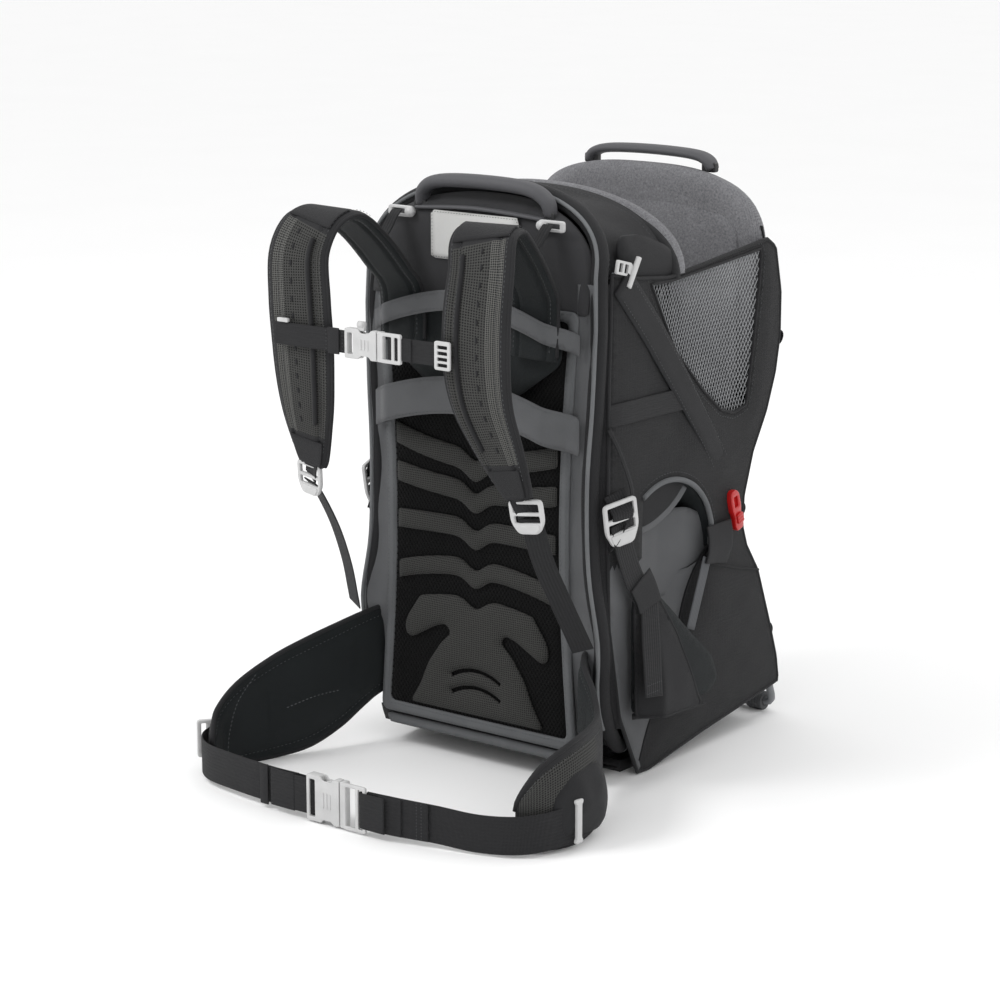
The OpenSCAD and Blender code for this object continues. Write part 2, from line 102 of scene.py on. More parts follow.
def axes_along(path, side, closed=False):
    """Heading, sideways and third direction at each point of a path."""
    step = np.roll(path, -1, 0) - np.roll(path, 1, 0) if closed else np.gradient(path, axis=0)
    t = unit(step)
    side = np.broadcast_to(np.array(side, float), t.shape)
    u = unit(side - (side * t).sum(1, keepdims=True) * t)
    return t, u, np.cross(t, u)


def sweep(path, section, side=(1, 0, 0), closed=False):
    """Rings of a cross-section, or of one cross-section for each point, along a path."""
    path = np.array(path, float)
    _, u, v = axes_along(path, side, closed)
    section = np.broadcast_to(section, (len(path), *np.shape(section)[-2:]))
    return path[:, None] + section[..., :1] * u[:, None] + section[..., 1:] * v[:, None]


def mirror(rings):
    """A loft of rings turned over to the other side of the carrier."""
    return np.roll(rings[:, ::-1], 1, axis=1) * np.array([-1, 1, 1])


def circle(r, count=16, flat=1.0):
    """Section of a round tube, as across and up offsets."""
    a = np.arange(count) * 2 * np.pi / count
    return np.stack([r * np.cos(a), r * flat * np.sin(a)], 1)


def band(w, t, cells=8):
    """Cross-section of webbing: w wide and t thick, with rounded edges."""
    r = t / 2
    bend = np.radians([-90, -45, 0, 45, 90])
    right = np.stack([w / 2 - r + r * np.cos(bend), r * np.sin(bend)], 1)
    inner = np.linspace(w / 2 - r, r - w / 2, cells + 1)[1:-1]
    top = np.stack([inner, np.full(len(inner), r)], 1)
    return np.concatenate([right, top, -right, -top])


def pad_section(w, t, cells=18, grooves=(), power=4.5):
    """Cross-section of a crowned pad; grooves are places across it, from 0 to 1, that are sewn down."""
    a = np.sin(np.linspace(np.pi / 2, -np.pi / 2, cells + 1))
    b = np.sqrt(np.maximum(1 - np.abs(a) ** power, 0))
    for g in grooves:
        b = b * (1 - 0.4 * np.exp(-(((np.abs(a) - g) / 0.07) ** 2)))
    top = np.stack([a * w / 2, b * t / 2], 1)
    return np.concatenate([top[:-1], (top * (1, -1))[::-1][:-1]])


def arch(w, base, top, n, count=41):
    """Squared-off arch from its right foot to its left one, as x and z."""
    a = np.linspace(0, np.pi, count)
    x = w * np.sign(np.cos(a)) * np.abs(np.cos(a)) ** (2 / n)
    return np.stack([x, base + (top - base) * np.abs(np.sin(a)) ** (2 / n)], 1)


def ripple(p, size, seed=0):
    """Soft repeatable unevenness, about -0.6 to 0.6, over points in two or three coordinates."""
    p = np.asarray(p, float)
    total = np.zeros(len(p))
    for k in range(6):
        a = seed * 1.7 + k * 2.4
        direction = np.array([math.cos(a), math.sin(a), math.cos(2 * a + 1)])[: p.shape[1]]
        total += np.sin(p @ direction * 2 * np.pi / (size * (1 + 0.35 * k)) + 3 * a)
    return total / 6


def along(path, spacing, closed=False):
    """Points at an even spacing along a path."""
    path = np.array(path, float)
    if closed:
        path = np.concatenate([path, path[:1]])
    length = np.concatenate([[0], np.cumsum(np.linalg.norm(np.diff(path, axis=0), axis=1))])
    at = np.linspace(0, length[-1], max(2, int(length[-1] / spacing) + 1))
    out = np.stack([np.interp(at, length, path[:, k]) for k in range(path.shape[1])], 1)
    return out[:-1] if closed else out


# ---- meshes ----


def make(name, verts, faces, materials, uvs=None, zones=None, closed=True):
    """One mesh object. uvs are one pair for each face corner, in metres; zones are material indices."""
    mesh = bpy.data.meshes.new(name)
    mesh.from_pydata((np.asarray(verts) * MM).tolist(), [], faces)
    if uvs is not None:
        mesh.uv_layers.new(name="UVMap").data.foreach_set("uv", np.asarray(uvs, float).ravel())
    for m in materials if isinstance(materials, (list, tuple)) else [materials]:
        mesh.materials.append(m)
    if zones is not None:
        mesh.polygons.foreach_set("material_index", np.asarray(zones, int))
    mesh.shade_smooth()
    obj = bpy.data.objects.new(name, mesh)
    bpy.context.scene.collection.objects.link(obj)
    if closed:
        bm = bmesh.new()
        bm.from_mesh(mesh)
        bmesh.ops.recalc_face_normals(bm, faces=bm.faces)
        bm.to_mesh(mesh)
        bm.free()
    return obj


def loft(name, rings, materials, closed=False, zone=None):
    """Closed solid through rings; zone(along, around) gives a material index from two shares of 0 to 1."""
    rings = np.asarray(rings)
    m, n = rings.shape[:2]
    rows = m if closed else m - 1
    around = np.linalg.norm(np.roll(rings, -1, 1) - rings, axis=2).mean(0)
    around = np.concatenate([[0], np.cumsum(around)]) * MM
    centre = rings.mean(1)
    ahead = np.linalg.norm(np.roll(centre, -1, 0) - centre, axis=1)
    ahead = np.concatenate([[0], np.cumsum(ahead)]) * MM
    faces, uvs, zones = [], [], []
    for j in range(rows):
        k = (j + 1) % m
        for i in range(n):
            o = (i + 1) % n
            faces.append((j * n + i, j * n + o, k * n + o, k * n + i))
            uvs += [(around[i], ahead[j]), (around[i + 1], ahead[j]),
                    (around[i + 1], ahead[j + 1]), (around[i], ahead[j + 1])]
            zones.append(zone(j / rows, (i + 0.5) / n) if zone else 0)
    if not closed:
        for start in (0, (m - 1) * n):
            ring = list(range(start, start + n))
            faces.append(ring[::-1] if start == 0 else ring)
            uvs += [(around[i], ahead[0 if start == 0 else m - 1]) for i in range(n)]
            zones.append(zone(0.0 if start == 0 else 1.0, 0.25) if zone else 0)
    return make(name, rings.reshape(-1, 3), faces, materials, uvs, zones)


def edge_distance(points, loops):
    """Distance from flat points to the nearest edge of some closed outlines."""
    best = np.full(len(points), 1e9)
    for loop in loops:
        for a, b in zip(loop, np.roll(loop, -1, 0)):
            ab = b - a
            t = np.clip(((points - a) @ ab) / max(ab @ ab, 1e-9), 0, 1)
            best = np.minimum(best, np.linalg.norm(points - a - t[:, None] * ab, axis=1))
    return best


def inside(points, loop):
    """Which points lie inside an outline."""
    x, y = points[:, 0], points[:, 1]
    odd = np.zeros(len(points), bool)
    for (ax, ay), (bx, by) in zip(loop, np.roll(loop, -1, 0)):
        if ay != by:
            odd ^= ((ay > y) != (by > y)) & (x < (bx - ax) * (y - ay) / (by - ay) + ax)
    return odd


def fill(outline, holes, step, marks=()):
    """Triangles over an outline, with a grid of points inside and points along some marks."""
    loops = [along(l, step, closed=True) for l in (outline, *holes)]
    low, high = loops[0].min(0), loops[0].max(0)
    rows = np.arange(low[1], high[1], step * 0.866)
    grid = np.array([
        (x + (step / 2 if k % 2 else 0), y) for k, y in enumerate(rows) for x in np.arange(low[0], high[0],
                step)
    ])
    keep = inside(grid, loops[0]) & (edge_distance(grid, loops) > step * 0.6)
    for hole in loops[1:]:
        keep &= ~inside(grid, hole)
    grid = grid[keep]
    for mark in marks:
        line = along(mark, step * 0.5)
        line = line[inside(line, loops[0]) & (edge_distance(line, loops) > step * 0.2)]
        near = np.min(np.linalg.norm(grid[:, None] - line[None], axis=2), axis=1)
        grid = np.concatenate([grid[near > step * 0.45], line])
    edges, start = [], 0
    for loop in loops:
        edges += [(start + i, start + (i + 1) % len(loop)) for i in range(len(loop))]
        start += len(loop)
    points = np.concatenate([*loops, grid])
    flat, _, faces, *_ = delaunay_2d_cdt([Vector(p) for p in points], edges, [], 0, 1e-5)
    flat, faces = np.array([tuple(p) for p in flat]), np.array([tuple(f) for f in faces])
    centres = flat[faces].mean(1)
    keep = inside(centres, loops[0])
    for hole in loops[1:]:
        keep &= ~inside(centres, hole)
    return flat, [tuple(int(i) for i in f) for f in faces[keep]], loops


def panel(name, outline, place, materials, holes=(), step=9, thick=3, rise=0, soft=18, back=0,
          marks=(), shape=None, zone=None):
    """Closed pad that fills an outline. place(p, h) puts flat points at a height h over the panel's plane,
    rise and back say how far its two faces swell, and soft over what distance from the edge.
    materials are the front's, the back's and any that zone(centre) picks for the front."""
    flat, tris, loops = fill(np.array(outline, float), [np.array(h, float) for h in holes], step, marks)
    crown = 1 - np.exp(-edge_distance(flat, loops) / soft)
    lift = shape(flat) if shape else 0
    count = len(flat)
    verts = np.concatenate([place(flat, thick / 2 + rise * crown + lift),
                            place(flat, -thick / 2 - back * crown + lift)])
    faces = list(tris) + [tuple(count + i for i in reversed(t)) for t in tris]
    centres = np.array([flat[list(t)].mean(0) for t in tris])
    front = zone(centres) if zone else np.zeros(len(tris), int)
    zones = list(front) + [1] * len(tris)
    one_way = {(t[k], t[(k + 1) % 3]) for t in tris for k in range(3)}
    for a, b in sorted(one_way):
        if (b, a) not in one_way:
            faces.append((b, a, count + a, count + b))
            zones.append(0)
    place_uv = np.concatenate([flat, flat]) * MM
    uvs = [place_uv[i] for f in faces for i in f]
    materials = materials if isinstance(materials, (list, tuple)) else [materials, materials]
    return make(name, verts, faces, materials, uvs, zones)


def join(name, pieces):
    """Several objects made into one."""
    with bpy.context.temp_override(
        active_object=pieces[0], object=pieces[0], selected_objects=pieces, selected_editable_objects=pieces
    ):
        bpy.ops.object.join()
    pieces[0].name = name
    pieces[0].data.name = name
    return pieces[0]


def rounded(points, r, count=4):
    """An outline with its corners rounded to about the radius r."""
    p = np.array(points, float)
    out = []
    for i in range(len(p)):
        a, b, c = p[i - 1], p[i], p[(i + 1) % len(p)]
        cut = min(r, np.linalg.norm(a - b) * 0.45, np.linalg.norm(c - b) * 0.45)
        s, e = b + unit(a - b) * cut, b + unit(c - b) * cut
        for k in range(count + 1):
            t = k / count
            out.append((1 - t) ** 2 * s + 2 * t * (1 - t) * b + t * t * e)
    return np.array(out)


def box_outline(x0, y0, x1, y1, r=2.0):
    """A rectangle with rounded corners, from two opposite corners."""
    return rounded([(x0, y0), (x1, y0), (x1, y1), (x0, y1)], r)


def moulded(name, outline, holes, thick, place, material, bevel=0.8):
    """Moulded plate with softened edges. place is a matrix in millimetres from its plane to the carrier."""
    data = bpy.data.curves.new(name, "CURVE")
    data.dimensions, data.fill_mode, data.bevel_resolution = "2D", "BOTH", 2
    data.extrude, data.bevel_depth, data.offset = thick / 2 - bevel, bevel, -bevel
    for loop in (outline, *holes):
        spline = data.splines.new("POLY")
        spline.points.add(len(loop) - 1)
        spline.points.foreach_set("co", [c for p in loop for c in (p[0], p[1], 0, 1)])
        spline.use_cyclic_u = True
    source = bpy.data.objects.new(name, data)
    bpy.context.scene.collection.objects.link(source)
    mesh = bpy.data.meshes.new_from_object(source.evaluated_get(bpy.context.evaluated_depsgraph_get()))
    bpy.data.objects.remove(source)
    bpy.data.curves.remove(data)
    mesh.transform(Matrix.Scale(MM, 4) @ place)
    bm = bmesh.new()
    bm.from_mesh(mesh)
    bmesh.ops.remove_doubles(bm, verts=bm.verts, dist=1e-6)
    bmesh.ops.recalc_face_normals(bm, faces=bm.faces)
    bm.to_mesh(mesh)
    bm.free()
    mesh.name = name
    mesh.materials.clear()
    mesh.materials.append(material)
    mesh.shade_smooth()
    mesh.set_sharp_from_angle(angle=math.radians(35))
    obj = bpy.data.objects.new(name, mesh)
    bpy.context.scene.collection.objects.link(obj)
    return obj


def placed(origin, x_axis, y_axis):
    """Matrix that takes a flat drawing's x and y to two directions, from an origin."""
    x = Vector(x_axis).normalized()
    z = x.cross(Vector(y_axis)).normalized()
    m = Matrix((x, z.cross(x), z)).transposed().to_4x4()
    m.translation = Vector(origin)
    return m


def fit(obj, body, slot, *nodes):
    """The piece rides on a body and stands for some nodes, which it hides; slot is not used."""
    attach(obj, body)
    if nodes:
        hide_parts(*nodes)
    return obj


def loop_area(outline):
    """Area that an outline encloses."""
    x, y = np.array(outline, float).T
    return abs(np.dot(x, np.roll(y, 1)) - np.dot(y, np.roll(x, 1))) / 2


def cut_cloth(outline, holes=()):
    """Works out the flat area of an outline less its holes, and keeps nothing."""
    area = loop_area(outline) - sum(loop_area(hole) for hole in holes)


def spread_cloth(line_of, rows, columns):
    """Lays out points along a sheet's rows and columns, and keeps nothing."""
    grid = np.array([line_of(t, np.linspace(0, 1, columns)) for t in np.linspace(0, 1, rows)])


THREADS = {}


def sew(body, path, normal, closed=False, dash=3.4, gap=2.0, wide=0.9, proud=0.35):
    """A row of stitches along a path; all of a body's stitches become one piece at the end."""
    path = np.array(path, float)
    dots = along(path, dash + gap, closed)
    _, side, up = axes_along(dots, np.broadcast_to(normal, dots.shape) if np.ndim(normal) == 1
                             else nearest(dots, path, np.array(normal)), closed)
    t = unit(np.cross(side, up))
    THREADS.setdefault(body, []).append((dots, t * dash / 2, up * wide / 2, side * proud))


def nearest(points, path, values):
    """The value belonging to the path point closest to each point."""
    return values[np.argmin(np.linalg.norm(points[:, None] - path[None], axis=2), axis=1)]


def make_threads(material):
    """Turns the stitches of each body into one piece."""
    corners = ((1, 0, 0), (0, 1, 0), (-1, 0, 0), (0, -1, 0), (0, 0, 1), (0, 0, -1))
    tris = ((0, 1, 4), (1, 2, 4), (2, 3, 4), (3, 0, 4), (1, 0, 5), (2, 1, 5), (3, 2, 5), (0, 3, 5))
    for body, rows in THREADS.items():
        verts = np.concatenate([
            np.stack([dots + a * t + b * w + c * n for a, b, c in corners], 1).reshape(-1, 3)
            for dots, t, w, n in rows
        ])
        faces = [tuple(6 * k + i for i in f) for k in range(len(verts) // 6) for f in tris]
        fit(make("stitches_" + body, verts, faces, material), body, "webbing")


# ---- materials ----


def colour(hex_code):
    """Linear colour of a web colour."""
    parts = [int(hex_code[i:i + 2], 16) / 255 for i in (1, 3, 5)]
    return tuple(((c + 0.055) / 1.055) ** 2.4 if c > 0.04 else c / 12.92 for c in parts) + (1,)


class Shader:
    """A node material under construction."""

    def __init__(self, name, rough, **fixed):
        self.material = bpy.data.materials.new(name)
        self.material.use_nodes = True
        self.tree = self.material.node_tree
        self.out = self.tree.nodes["Principled BSDF"]
        self.out.inputs["Roughness"].default_value = rough
        for key, value in fixed.items():
            self.out.inputs[key.replace("_", " ")].default_value = value

    def node(self, kind, inputs=None, **settings):
        n = self.tree.nodes.new("ShaderNode" + kind)
        for key, value in settings.items():
            setattr(n, key, value)
        for key, value in (inputs or {}).items():
            if isinstance(value, bpy.types.NodeSocket):
                self.tree.links.new(value, n.inputs[key])
            else:
                n.inputs[key].default_value = value
        return n

    def maths(self, operation, a, b=0.0, clamp=False):
        return self.node("Math", {0: a, 1: b}, operation=operation, use_clamp=clamp).outputs[0]

    def place(self, kind):
        return self.node("TexCoord").outputs[kind]

    def noise(self, per_metre, detail=3.0, where="Object"):
        return self.node(
            "TexNoise", {"Vector": self.place(where), "Scale": per_metre, "Detail": detail}
        ).outputs["Fac"]

    def wave(self, axis, pitch_mm, where="UV"):
        """Sine from -1 to 1 along an axis of the cloth."""
        split = self.node("SeparateXYZ", {0: self.place(where)}).outputs[axis]
        return self.maths("SINE", self.maths("MULTIPLY", split, 2 * math.pi / (pitch_mm * MM)))

    def dots(self, pitch_mm, size):
        """1 inside the holes of a regular perforation, 0 between them."""
        cell = self.node(
            "TexVoronoi", {"Vector": self.place("UV"), "Scale": 1 / (pitch_mm * MM), "Randomness": 0.08}
        ).outputs["Distance"]
        return self.maths("LESS_THAN", cell, size)

    def paint(self, factor, low, high):
        """Colour from low to high as factor goes from 0 to 1."""
        mix = self.node("Mix", {0: factor, 6: colour(low), 7: colour(high)}, data_type="RGBA")
        self.tree.links.new(mix.outputs[2], self.out.inputs["Base Color"])

    def rough(self, factor, low, high):
        r = self.node("MapRange", {"Value": factor, "To Min": low, "To Max": high}).outputs[0]
        self.tree.links.new(r, self.out.inputs["Roughness"])

    def bump(self, height, depth_mm, strength=1.0):
        b = self.node("Bump", {"Height": height, "Distance": depth_mm * MM, "Strength": strength})
        self.tree.links.new(b.outputs[0], self.out.inputs["Normal"])
        return self.material


def woven(name, low, high, pitch=1.1, ripstop=0.0, sheen=0.03, rough=0.8, twill=False, depth=0.25):
    """Woven cloth: crossing threads, a ripstop grid if asked, slubs and slow shade variation."""
    s = Shader(name, rough, Sheen_Weight=sheen, Sheen_Roughness=0.45, Specular_IOR_Level=0.3)
    x, y = s.wave(0, pitch), s.wave(1, pitch)
    weave = s.maths("SINE", s.maths("MULTIPLY", s.maths("ADD", x, y), 1.6)) if twill else s.maths("MULTIPLY",
            x, y)
    weave = s.maths("MULTIPLY_ADD", weave, 0.5)
    weave = s.maths("ADD", weave, 0.5)
    slow, slub = s.noise(22, 4), s.noise(650, 2)
    shade = s.maths("ADD", s.maths("MULTIPLY", slow, 0.55), s.maths("MULTIPLY", slub, 0.25))
    shade = s.maths("ADD", shade, s.maths("MULTIPLY", weave, 0.2))
    height = s.maths("ADD", weave, s.maths("MULTIPLY", slub, 0.6))
    if ripstop:
        grid = s.maths("MAXIMUM", s.wave(0, ripstop), s.wave(1, ripstop))
        grid = s.maths("POWER", s.maths("MAXIMUM", grid, 0.0), 24.0)
        height = s.maths("ADD", height, s.maths("MULTIPLY", grid, 1.4))
        shade = s.maths("ADD", shade, s.maths("MULTIPLY", grid, 0.2))
    s.paint(s.maths("MULTIPLY", shade, 1.0, clamp=True), low, high)
    s.rough(slub, rough - 0.08, rough + 0.1)
    return s.bump(height, depth)


def melange(name, low, high):
    """Brushed knit: heathered fibres over fine ribs."""
    s = Shader(name, 0.92, Sheen_Weight=0.08, Sheen_Roughness=0.5, Specular_IOR_Level=0.15)
    fibre, cloud, slow = s.noise(1500, 2), s.noise(420, 3), s.noise(14, 2)
    rib = s.maths("MULTIPLY", s.wave(0, 1.6), 0.12)
    mix = s.maths("ADD", s.maths("MULTIPLY", fibre, 0.9), s.maths("MULTIPLY", cloud, 0.8))
    mix = s.maths("ADD", s.maths("SUBTRACT", mix, 0.5), s.maths("MULTIPLY", slow, 0.2))
    s.paint(s.maths("ADD", mix, rib, clamp=True), low, high)
    return s.bump(s.maths("ADD", fibre, s.maths("MULTIPLY", rib, 3.0)), 0.35)


def perforated(name, cloth, high, hole, pitch, size, depth=0.6):
    """Spacer mesh or perforated foam: rows of small holes in a knit face."""
    s = Shader(name, 0.85, Sheen_Weight=0.03, Specular_IOR_Level=0.2)
    dot, fibre = s.dots(pitch, size), s.noise(900, 3)
    base = s.node("Mix", {0: fibre, 6: colour(cloth), 7: colour(high)}, data_type="RGBA").outputs[2]
    mix = s.node("Mix", {0: dot, 6: base, 7: colour(hole)}, data_type="RGBA")
    s.tree.links.new(mix.outputs[2], s.out.inputs["Base Color"])
    return s.bump(s.maths("SUBTRACT", s.maths("MULTIPLY", fibre, 0.4), dot), depth)


def webbing(name, low, high, pitch=1.5):
    """Webbing: ribs across its length with a herringbone run along it."""
    s = Shader(name, 0.7, Sheen_Weight=0.03, Sheen_Roughness=0.4, Specular_IOR_Level=0.3)
    ribs, lanes, slub = s.wave(1, pitch), s.wave(0, pitch * 2.6), s.noise(500, 3)
    height = s.maths("ADD", ribs, s.maths("MULTIPLY", lanes, 0.7))
    shade = s.maths("MULTIPLY_ADD", height, 0.14)
    shade = s.maths("ADD", s.maths("ADD", shade, 0.1), s.maths("MULTIPLY", slub, 0.7), clamp=True)
    s.paint(shade, low, high)
    s.rough(slub, 0.6, 0.82)
    return s.bump(height, 0.3)


def moulding(name, low, high, rough, grain=0.05, coat=0.0, per_metre=1800):
    """Moulded or coated hard surface: fine grain and faint handling marks."""
    s = Shader(name, rough, Coat_Weight=coat, Coat_Roughness=0.25)
    grains, marks = s.noise(per_metre, 2), s.noise(60, 5)
    s.paint(s.maths("ADD", s.maths("MULTIPLY", marks, 0.7), s.maths("MULTIPLY", grains, 0.3), clamp=True),
            low, high)
    s.rough(marks, rough - 0.06, rough + 0.1)
    return s.bump(grains, grain)


def steel(name):
    """Bare metal with a fine brushed grain."""
    s = Shader(name, 0.3, Metallic=1.0)
    streaks = s.noise(240, 4)
    s.paint(streaks, "#8f9194", "#c5c7ca")
    s.rough(streaks, 0.22, 0.4)
    return s.bump(streaks, 0.02)


def grip(name, low, high):
    """Soft rubbery grip with a fine grain."""
    s = Shader(name, 0.62, Specular_IOR_Level=0.35)
    grains = s.noise(1400, 2)
    s.paint(s.maths("ADD", s.maths("MULTIPLY", grains, 0.7), 0.1, clamp=True), low, high)
    return s.bump(grains, 0.3)


BODY = woven("ripstop_charcoal", "#0c0c0e", "#1d1d1f", pitch=0.9, ripstop=5.0, rough=0.7)
STRAP = woven("strap_charcoal", "#101012", "#252527", pitch=1.0, rough=0.72)
LINING = woven("lining_teal", "#070b0d", "#13191b", pitch=0.8, rough=0.72)
GREY = woven("gusset_grey", "#444547", "#68696b", pitch=1.0, rough=0.72)
TRIM = woven("trim_grey", "#48494b", "#6b6d6f", pitch=1.3, rough=0.74, twill=True)
PIPING = woven("piping_grey", "#505254", "#797b7d", pitch=1.2, rough=0.7)
FACE = woven("face_grey", "#1f1f21", "#39393b", pitch=0.9, rough=0.72)
KNIT = melange("melange_knit", "#454548", "#97979a")
SPACER = perforated("strap_spacer", "#2b2b2b", "#4c4c4a", "#0d0d0d", 3.0, 0.3)
MESH_STRIP = perforated("strap_mesh_light", "#474746", "#676764", "#121212", 2.2, 0.34)
FOAM = perforated("perforated_foam", "#2c2c2b", "#464644", "#121212", 2.6, 0.3)
BACK = perforated("suspension_mesh", "#0b0b0c", "#19191a", "#020202", 2.6, 0.34)
NET = woven("window_net", "#77797b", "#a4a5a7", pitch=0.6, rough=0.6)
WEB = webbing("webbing_black", "#0d0d0f", "#202022")
WEB_GREY = webbing("webbing_grey", "#3c3d40", "#5c5e61", pitch=1.2)
BUCKLE = moulding("acetal_grey", "#a8a8a8", "#cfcfcf", 0.4)
NYLON = moulding("nylon_black", "#121214", "#262628", 0.5, grain=0.12)
RED = moulding("acetal_red", "#960d0e", "#c81a19", 0.3, grain=0.03, coat=0.3)
COAT = moulding("powder_coat", "#5d5f62", "#828487", 0.42, grain=0.1, per_metre=2600)
RUBBER = moulding("sleeve_rubber", "#3a3b3d", "#565759", 0.8, grain=0.2)
PIN = steel("pin_steel")
GRIP = grip("soft_grip", "#3b3b3e", "#5e5e61")
LABEL = woven("label_satin", "#c9c9c7", "#e6e6e4", pitch=0.5, rough=0.5)
THREAD = woven("thread_grey", "#3c3e40", "#5e6062", pitch=0.5, rough=0.6)
ZIP = moulding("zip_coil", "#0c0c0d", "#1d1d1f", 0.35, grain=0.1)


# ---- frame tubes ----

FRAME_SIDE = [
    (136, -2, 25), (150, -12, 31), (155, -36, 46), (161, -64, 84), (168, -80, 124), (174, -88, 180),
    (160, -88, 262), (157, -88, 360), (162, -86, 450), (165, -84, 540)
]
ROD_X = 162


def bowed_arch(w, base, top, n, front, bow, count=41):
    """Points of an arch whose middle stands back by bow from its feet, which are at y = front."""
    flat = arch(w, base, top, n, count)
    a = np.linspace(0, np.pi, count)
    return np.stack([flat[:, 0], front + bow * np.sin(a), flat[:, 1]], 1)


def mirrored_path(points):
    """The same points on the other side, in the other order."""
    return [(-x, y, z) for x, y, z in points[::-1]]


def make_frame():
    """Perimeter tube with its fabric sleeve and piping."""
    top = bowed_arch(163, 601, 688, 2.3, -82, 30)
    side = smooth(FRAME_SIDE, 5)
    over = np.concatenate([side, top, side[::-1] * (-1, 1, 1)])
    whole = np.concatenate([over, [(-90, 0, 24), (0, 0, 24), (90, 0, 24)]])
    whole = along(whole, 9, closed=True)
    tube = loft("perimeter_tube", sweep(whole, circle(7, 20), side_directions(whole), closed=True), COAT,
                closed=True)
    fit(tube, "root", "frame_metal", "frame_upright_left", "frame_upright_right", "frame_top_bar",
        "frame_base_bar")
    covered = along(over[(over[:, 2] > 34)], 8)
    out = side_directions(covered)
    sleeve = loft("frame_sleeve", sweep(covered, circle(10, 24), out), STRAP)
    fit(sleeve, "root", "trim_fabric")
    forward = np.array([0, -1, 0])
    cord = covered[6:-6] + out[6:-6] * 3 + forward * 10.2
    fit(loft("frame_piping", sweep(cord, circle(2.4, 12), out[6:-6]), PIPING), "root", "trim_fabric")
    sew("root", covered[4:-4] + out[4:-4] * 4 + forward * 9.2, unit(forward + out[4:-4] * 0.4))


def side_directions(path):
    """Directions outward from the middle of the frame, square to Y."""
    out = path - np.array([0, 0, 380])
    out[:, 1] = 0
    out[:, 0] *= 3
    return unit(out)


def make_rods():
    """Struts, posts and hoop of the cockpit."""
    for s, side in LEFT_RIGHT:
        strut = along([(s * ROD_X, -60, 600), (s * ROD_X, 60, 455), (s * ROD_X, 170, 325)], 12)
        fit(loft("side_strut_" + side, sweep(strut, circle(5, 16), (0, 0, 1)), COAT), "root", "frame_metal")
    posts = smooth([(190, 331.5), (206, 356), (234, 402), (253, 446), (262, 490), (262, 541), (252, 588)], 4)
    post = np.stack([np.full(len(posts), ROD_X), posts[:, 0], posts[:, 1]], 1)
    hoop = bowed_arch(ROD_X, 589, 682, 3, 251, -10)
    path = along(np.concatenate([post[:-1], hoop, (post[:-1] * (-1, 1, 1))[::-1]]), 10)
    rod = loft("rear_hoop_tube", sweep(path, circle(5, 16), (0, 1, 0)), COAT)
    fit(rod, "root", "frame_metal", "rear_posts", "cockpit_hoop")
    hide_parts("side_struts")


HINGE_Y, HINGE_Z = 188, 290  # the kickstand's hinge pins
FOOT_Y, FOOT_Z = 302, 12  # the middle of the kickstand's foot tube


def make_kickstand():
    """Kickstand tube with its eyes and its rubber sleeves."""
    hinge, foot = np.array([HINGE_Y, HINGE_Z]), np.array([FOOT_Y, FOOT_Z])
    run = unit(foot - hinge)
    leg_x = ROD_X - 1.75
    leg = [(leg_x, *(hinge + k * run)) for k in (7, 80, 150, 220, 278)]
    half = leg + [(leg_x - 2, 300.5, 17), (leg_x - 10, 302, 12), (120, 302, 12), (60, 302, 12)]
    path = along(smooth(half + [(0, 302, 12)] + mirrored_path(half), 5), 7)
    tube = loft("kickstand_leg_tube", sweep(path, circle(5, 18), (0, 0.93, 0.37)), COAT)
    eyes = []
    for s in (1, -1):
        ring = [(4.1, -4.75), (10.2, -4.75), (11, -4), (11, 4), (10.2, 4.75), (4.1, 4.75)]
        turn = np.linspace(0, 2 * np.pi, 40, endpoint=False)
        rings = np.array([
            [(s * leg_x + h, HINGE_Y + r * math.cos(a), HINGE_Z + r * math.sin(a)) for r, h in ring] for a in turn
        ])
        eyes.append(loft("eye", rings, COAT, closed=True))
    fit(join("kickstand_legs", [tube, *eyes]), "kickstand", "frame_metal", "kickstand_tube")
    for s, side in LEFT_RIGHT:
        outline = [(112, 5.2), (112, 8.4), (113, 9), (125, 9), (126, 9.6), (126.5, 11.4)]
        for k in range(5):
            outline += [(128 + 4 * k, 12), (130 + 4 * k, 12), (130.6 + 4 * k, 11.3), (131.4 + 4 * k, 11.3)]
        outline += [(147.4, 12), (148, 11.4), (148, 5.2)]
        turn = np.linspace(0, 2 * np.pi, 40, endpoint=False)
        rings = np.array([
            [(s * x, FOOT_Y + r * math.cos(a), FOOT_Z + r * math.sin(a)) for x, r in outline] for a in turn
        ])
        sleeve = loft("foot_sleeve_" + side, rings, RUBBER, closed=True)
        fit(sleeve, "kickstand", "rubber")
    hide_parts("kickstand_feet")


# ---- fabric body ----

HALF_W = 175
SIDE_OUTLINE = [
    (-72, 602), (-76, 480), (-76, 300), (-72, 190), (-50, 80), (-12, 4), (10, 3),
    (120, 22), (226, 37), (290, 47), (284, 80), (266, 130), (238, 200), (212, 236), (202, 262),
    (204, 300), (222, 352), (250, 398), (268, 443), (277, 487), (277, 541), (264, 597), (246, 608),
    (41, 586), (-20, 592)
]
WINDOW = [(3, 583), (52, 500), (111, 444), (150, 414), (178, 406), (205, 412), (219, 487), (231, 575),
          (232, 598), (44, 582)]
LEG_ARC = [(38 + 98 * math.cos(a), 250 + 98 * math.sin(a)) for a in np.radians(np.arange(0, 123, 6))]
LEG_HOLE = LEG_ARC + [(-14, 250), (-13, 240), (6, 228), (52, 222), (104, 228), (128, 240)]
CALF_SEAM = smooth([(150, 262), (118, 235), (81, 161), (42, 108), (8, 58), (-10, 18)], 6)
CALF = [(-90, 262), (-14, 262), (-13, 240), (128, 240), *CALF_SEAM.tolist(), (-12, 0), (-90, 0)]
LOWER_SEAM = [(118, 235), (150, 224), (182, 214), (240, 200)]
FOLD_START, FOLD_END = (0, 0.1263, 0), (0, 0.2029, -0.0242)


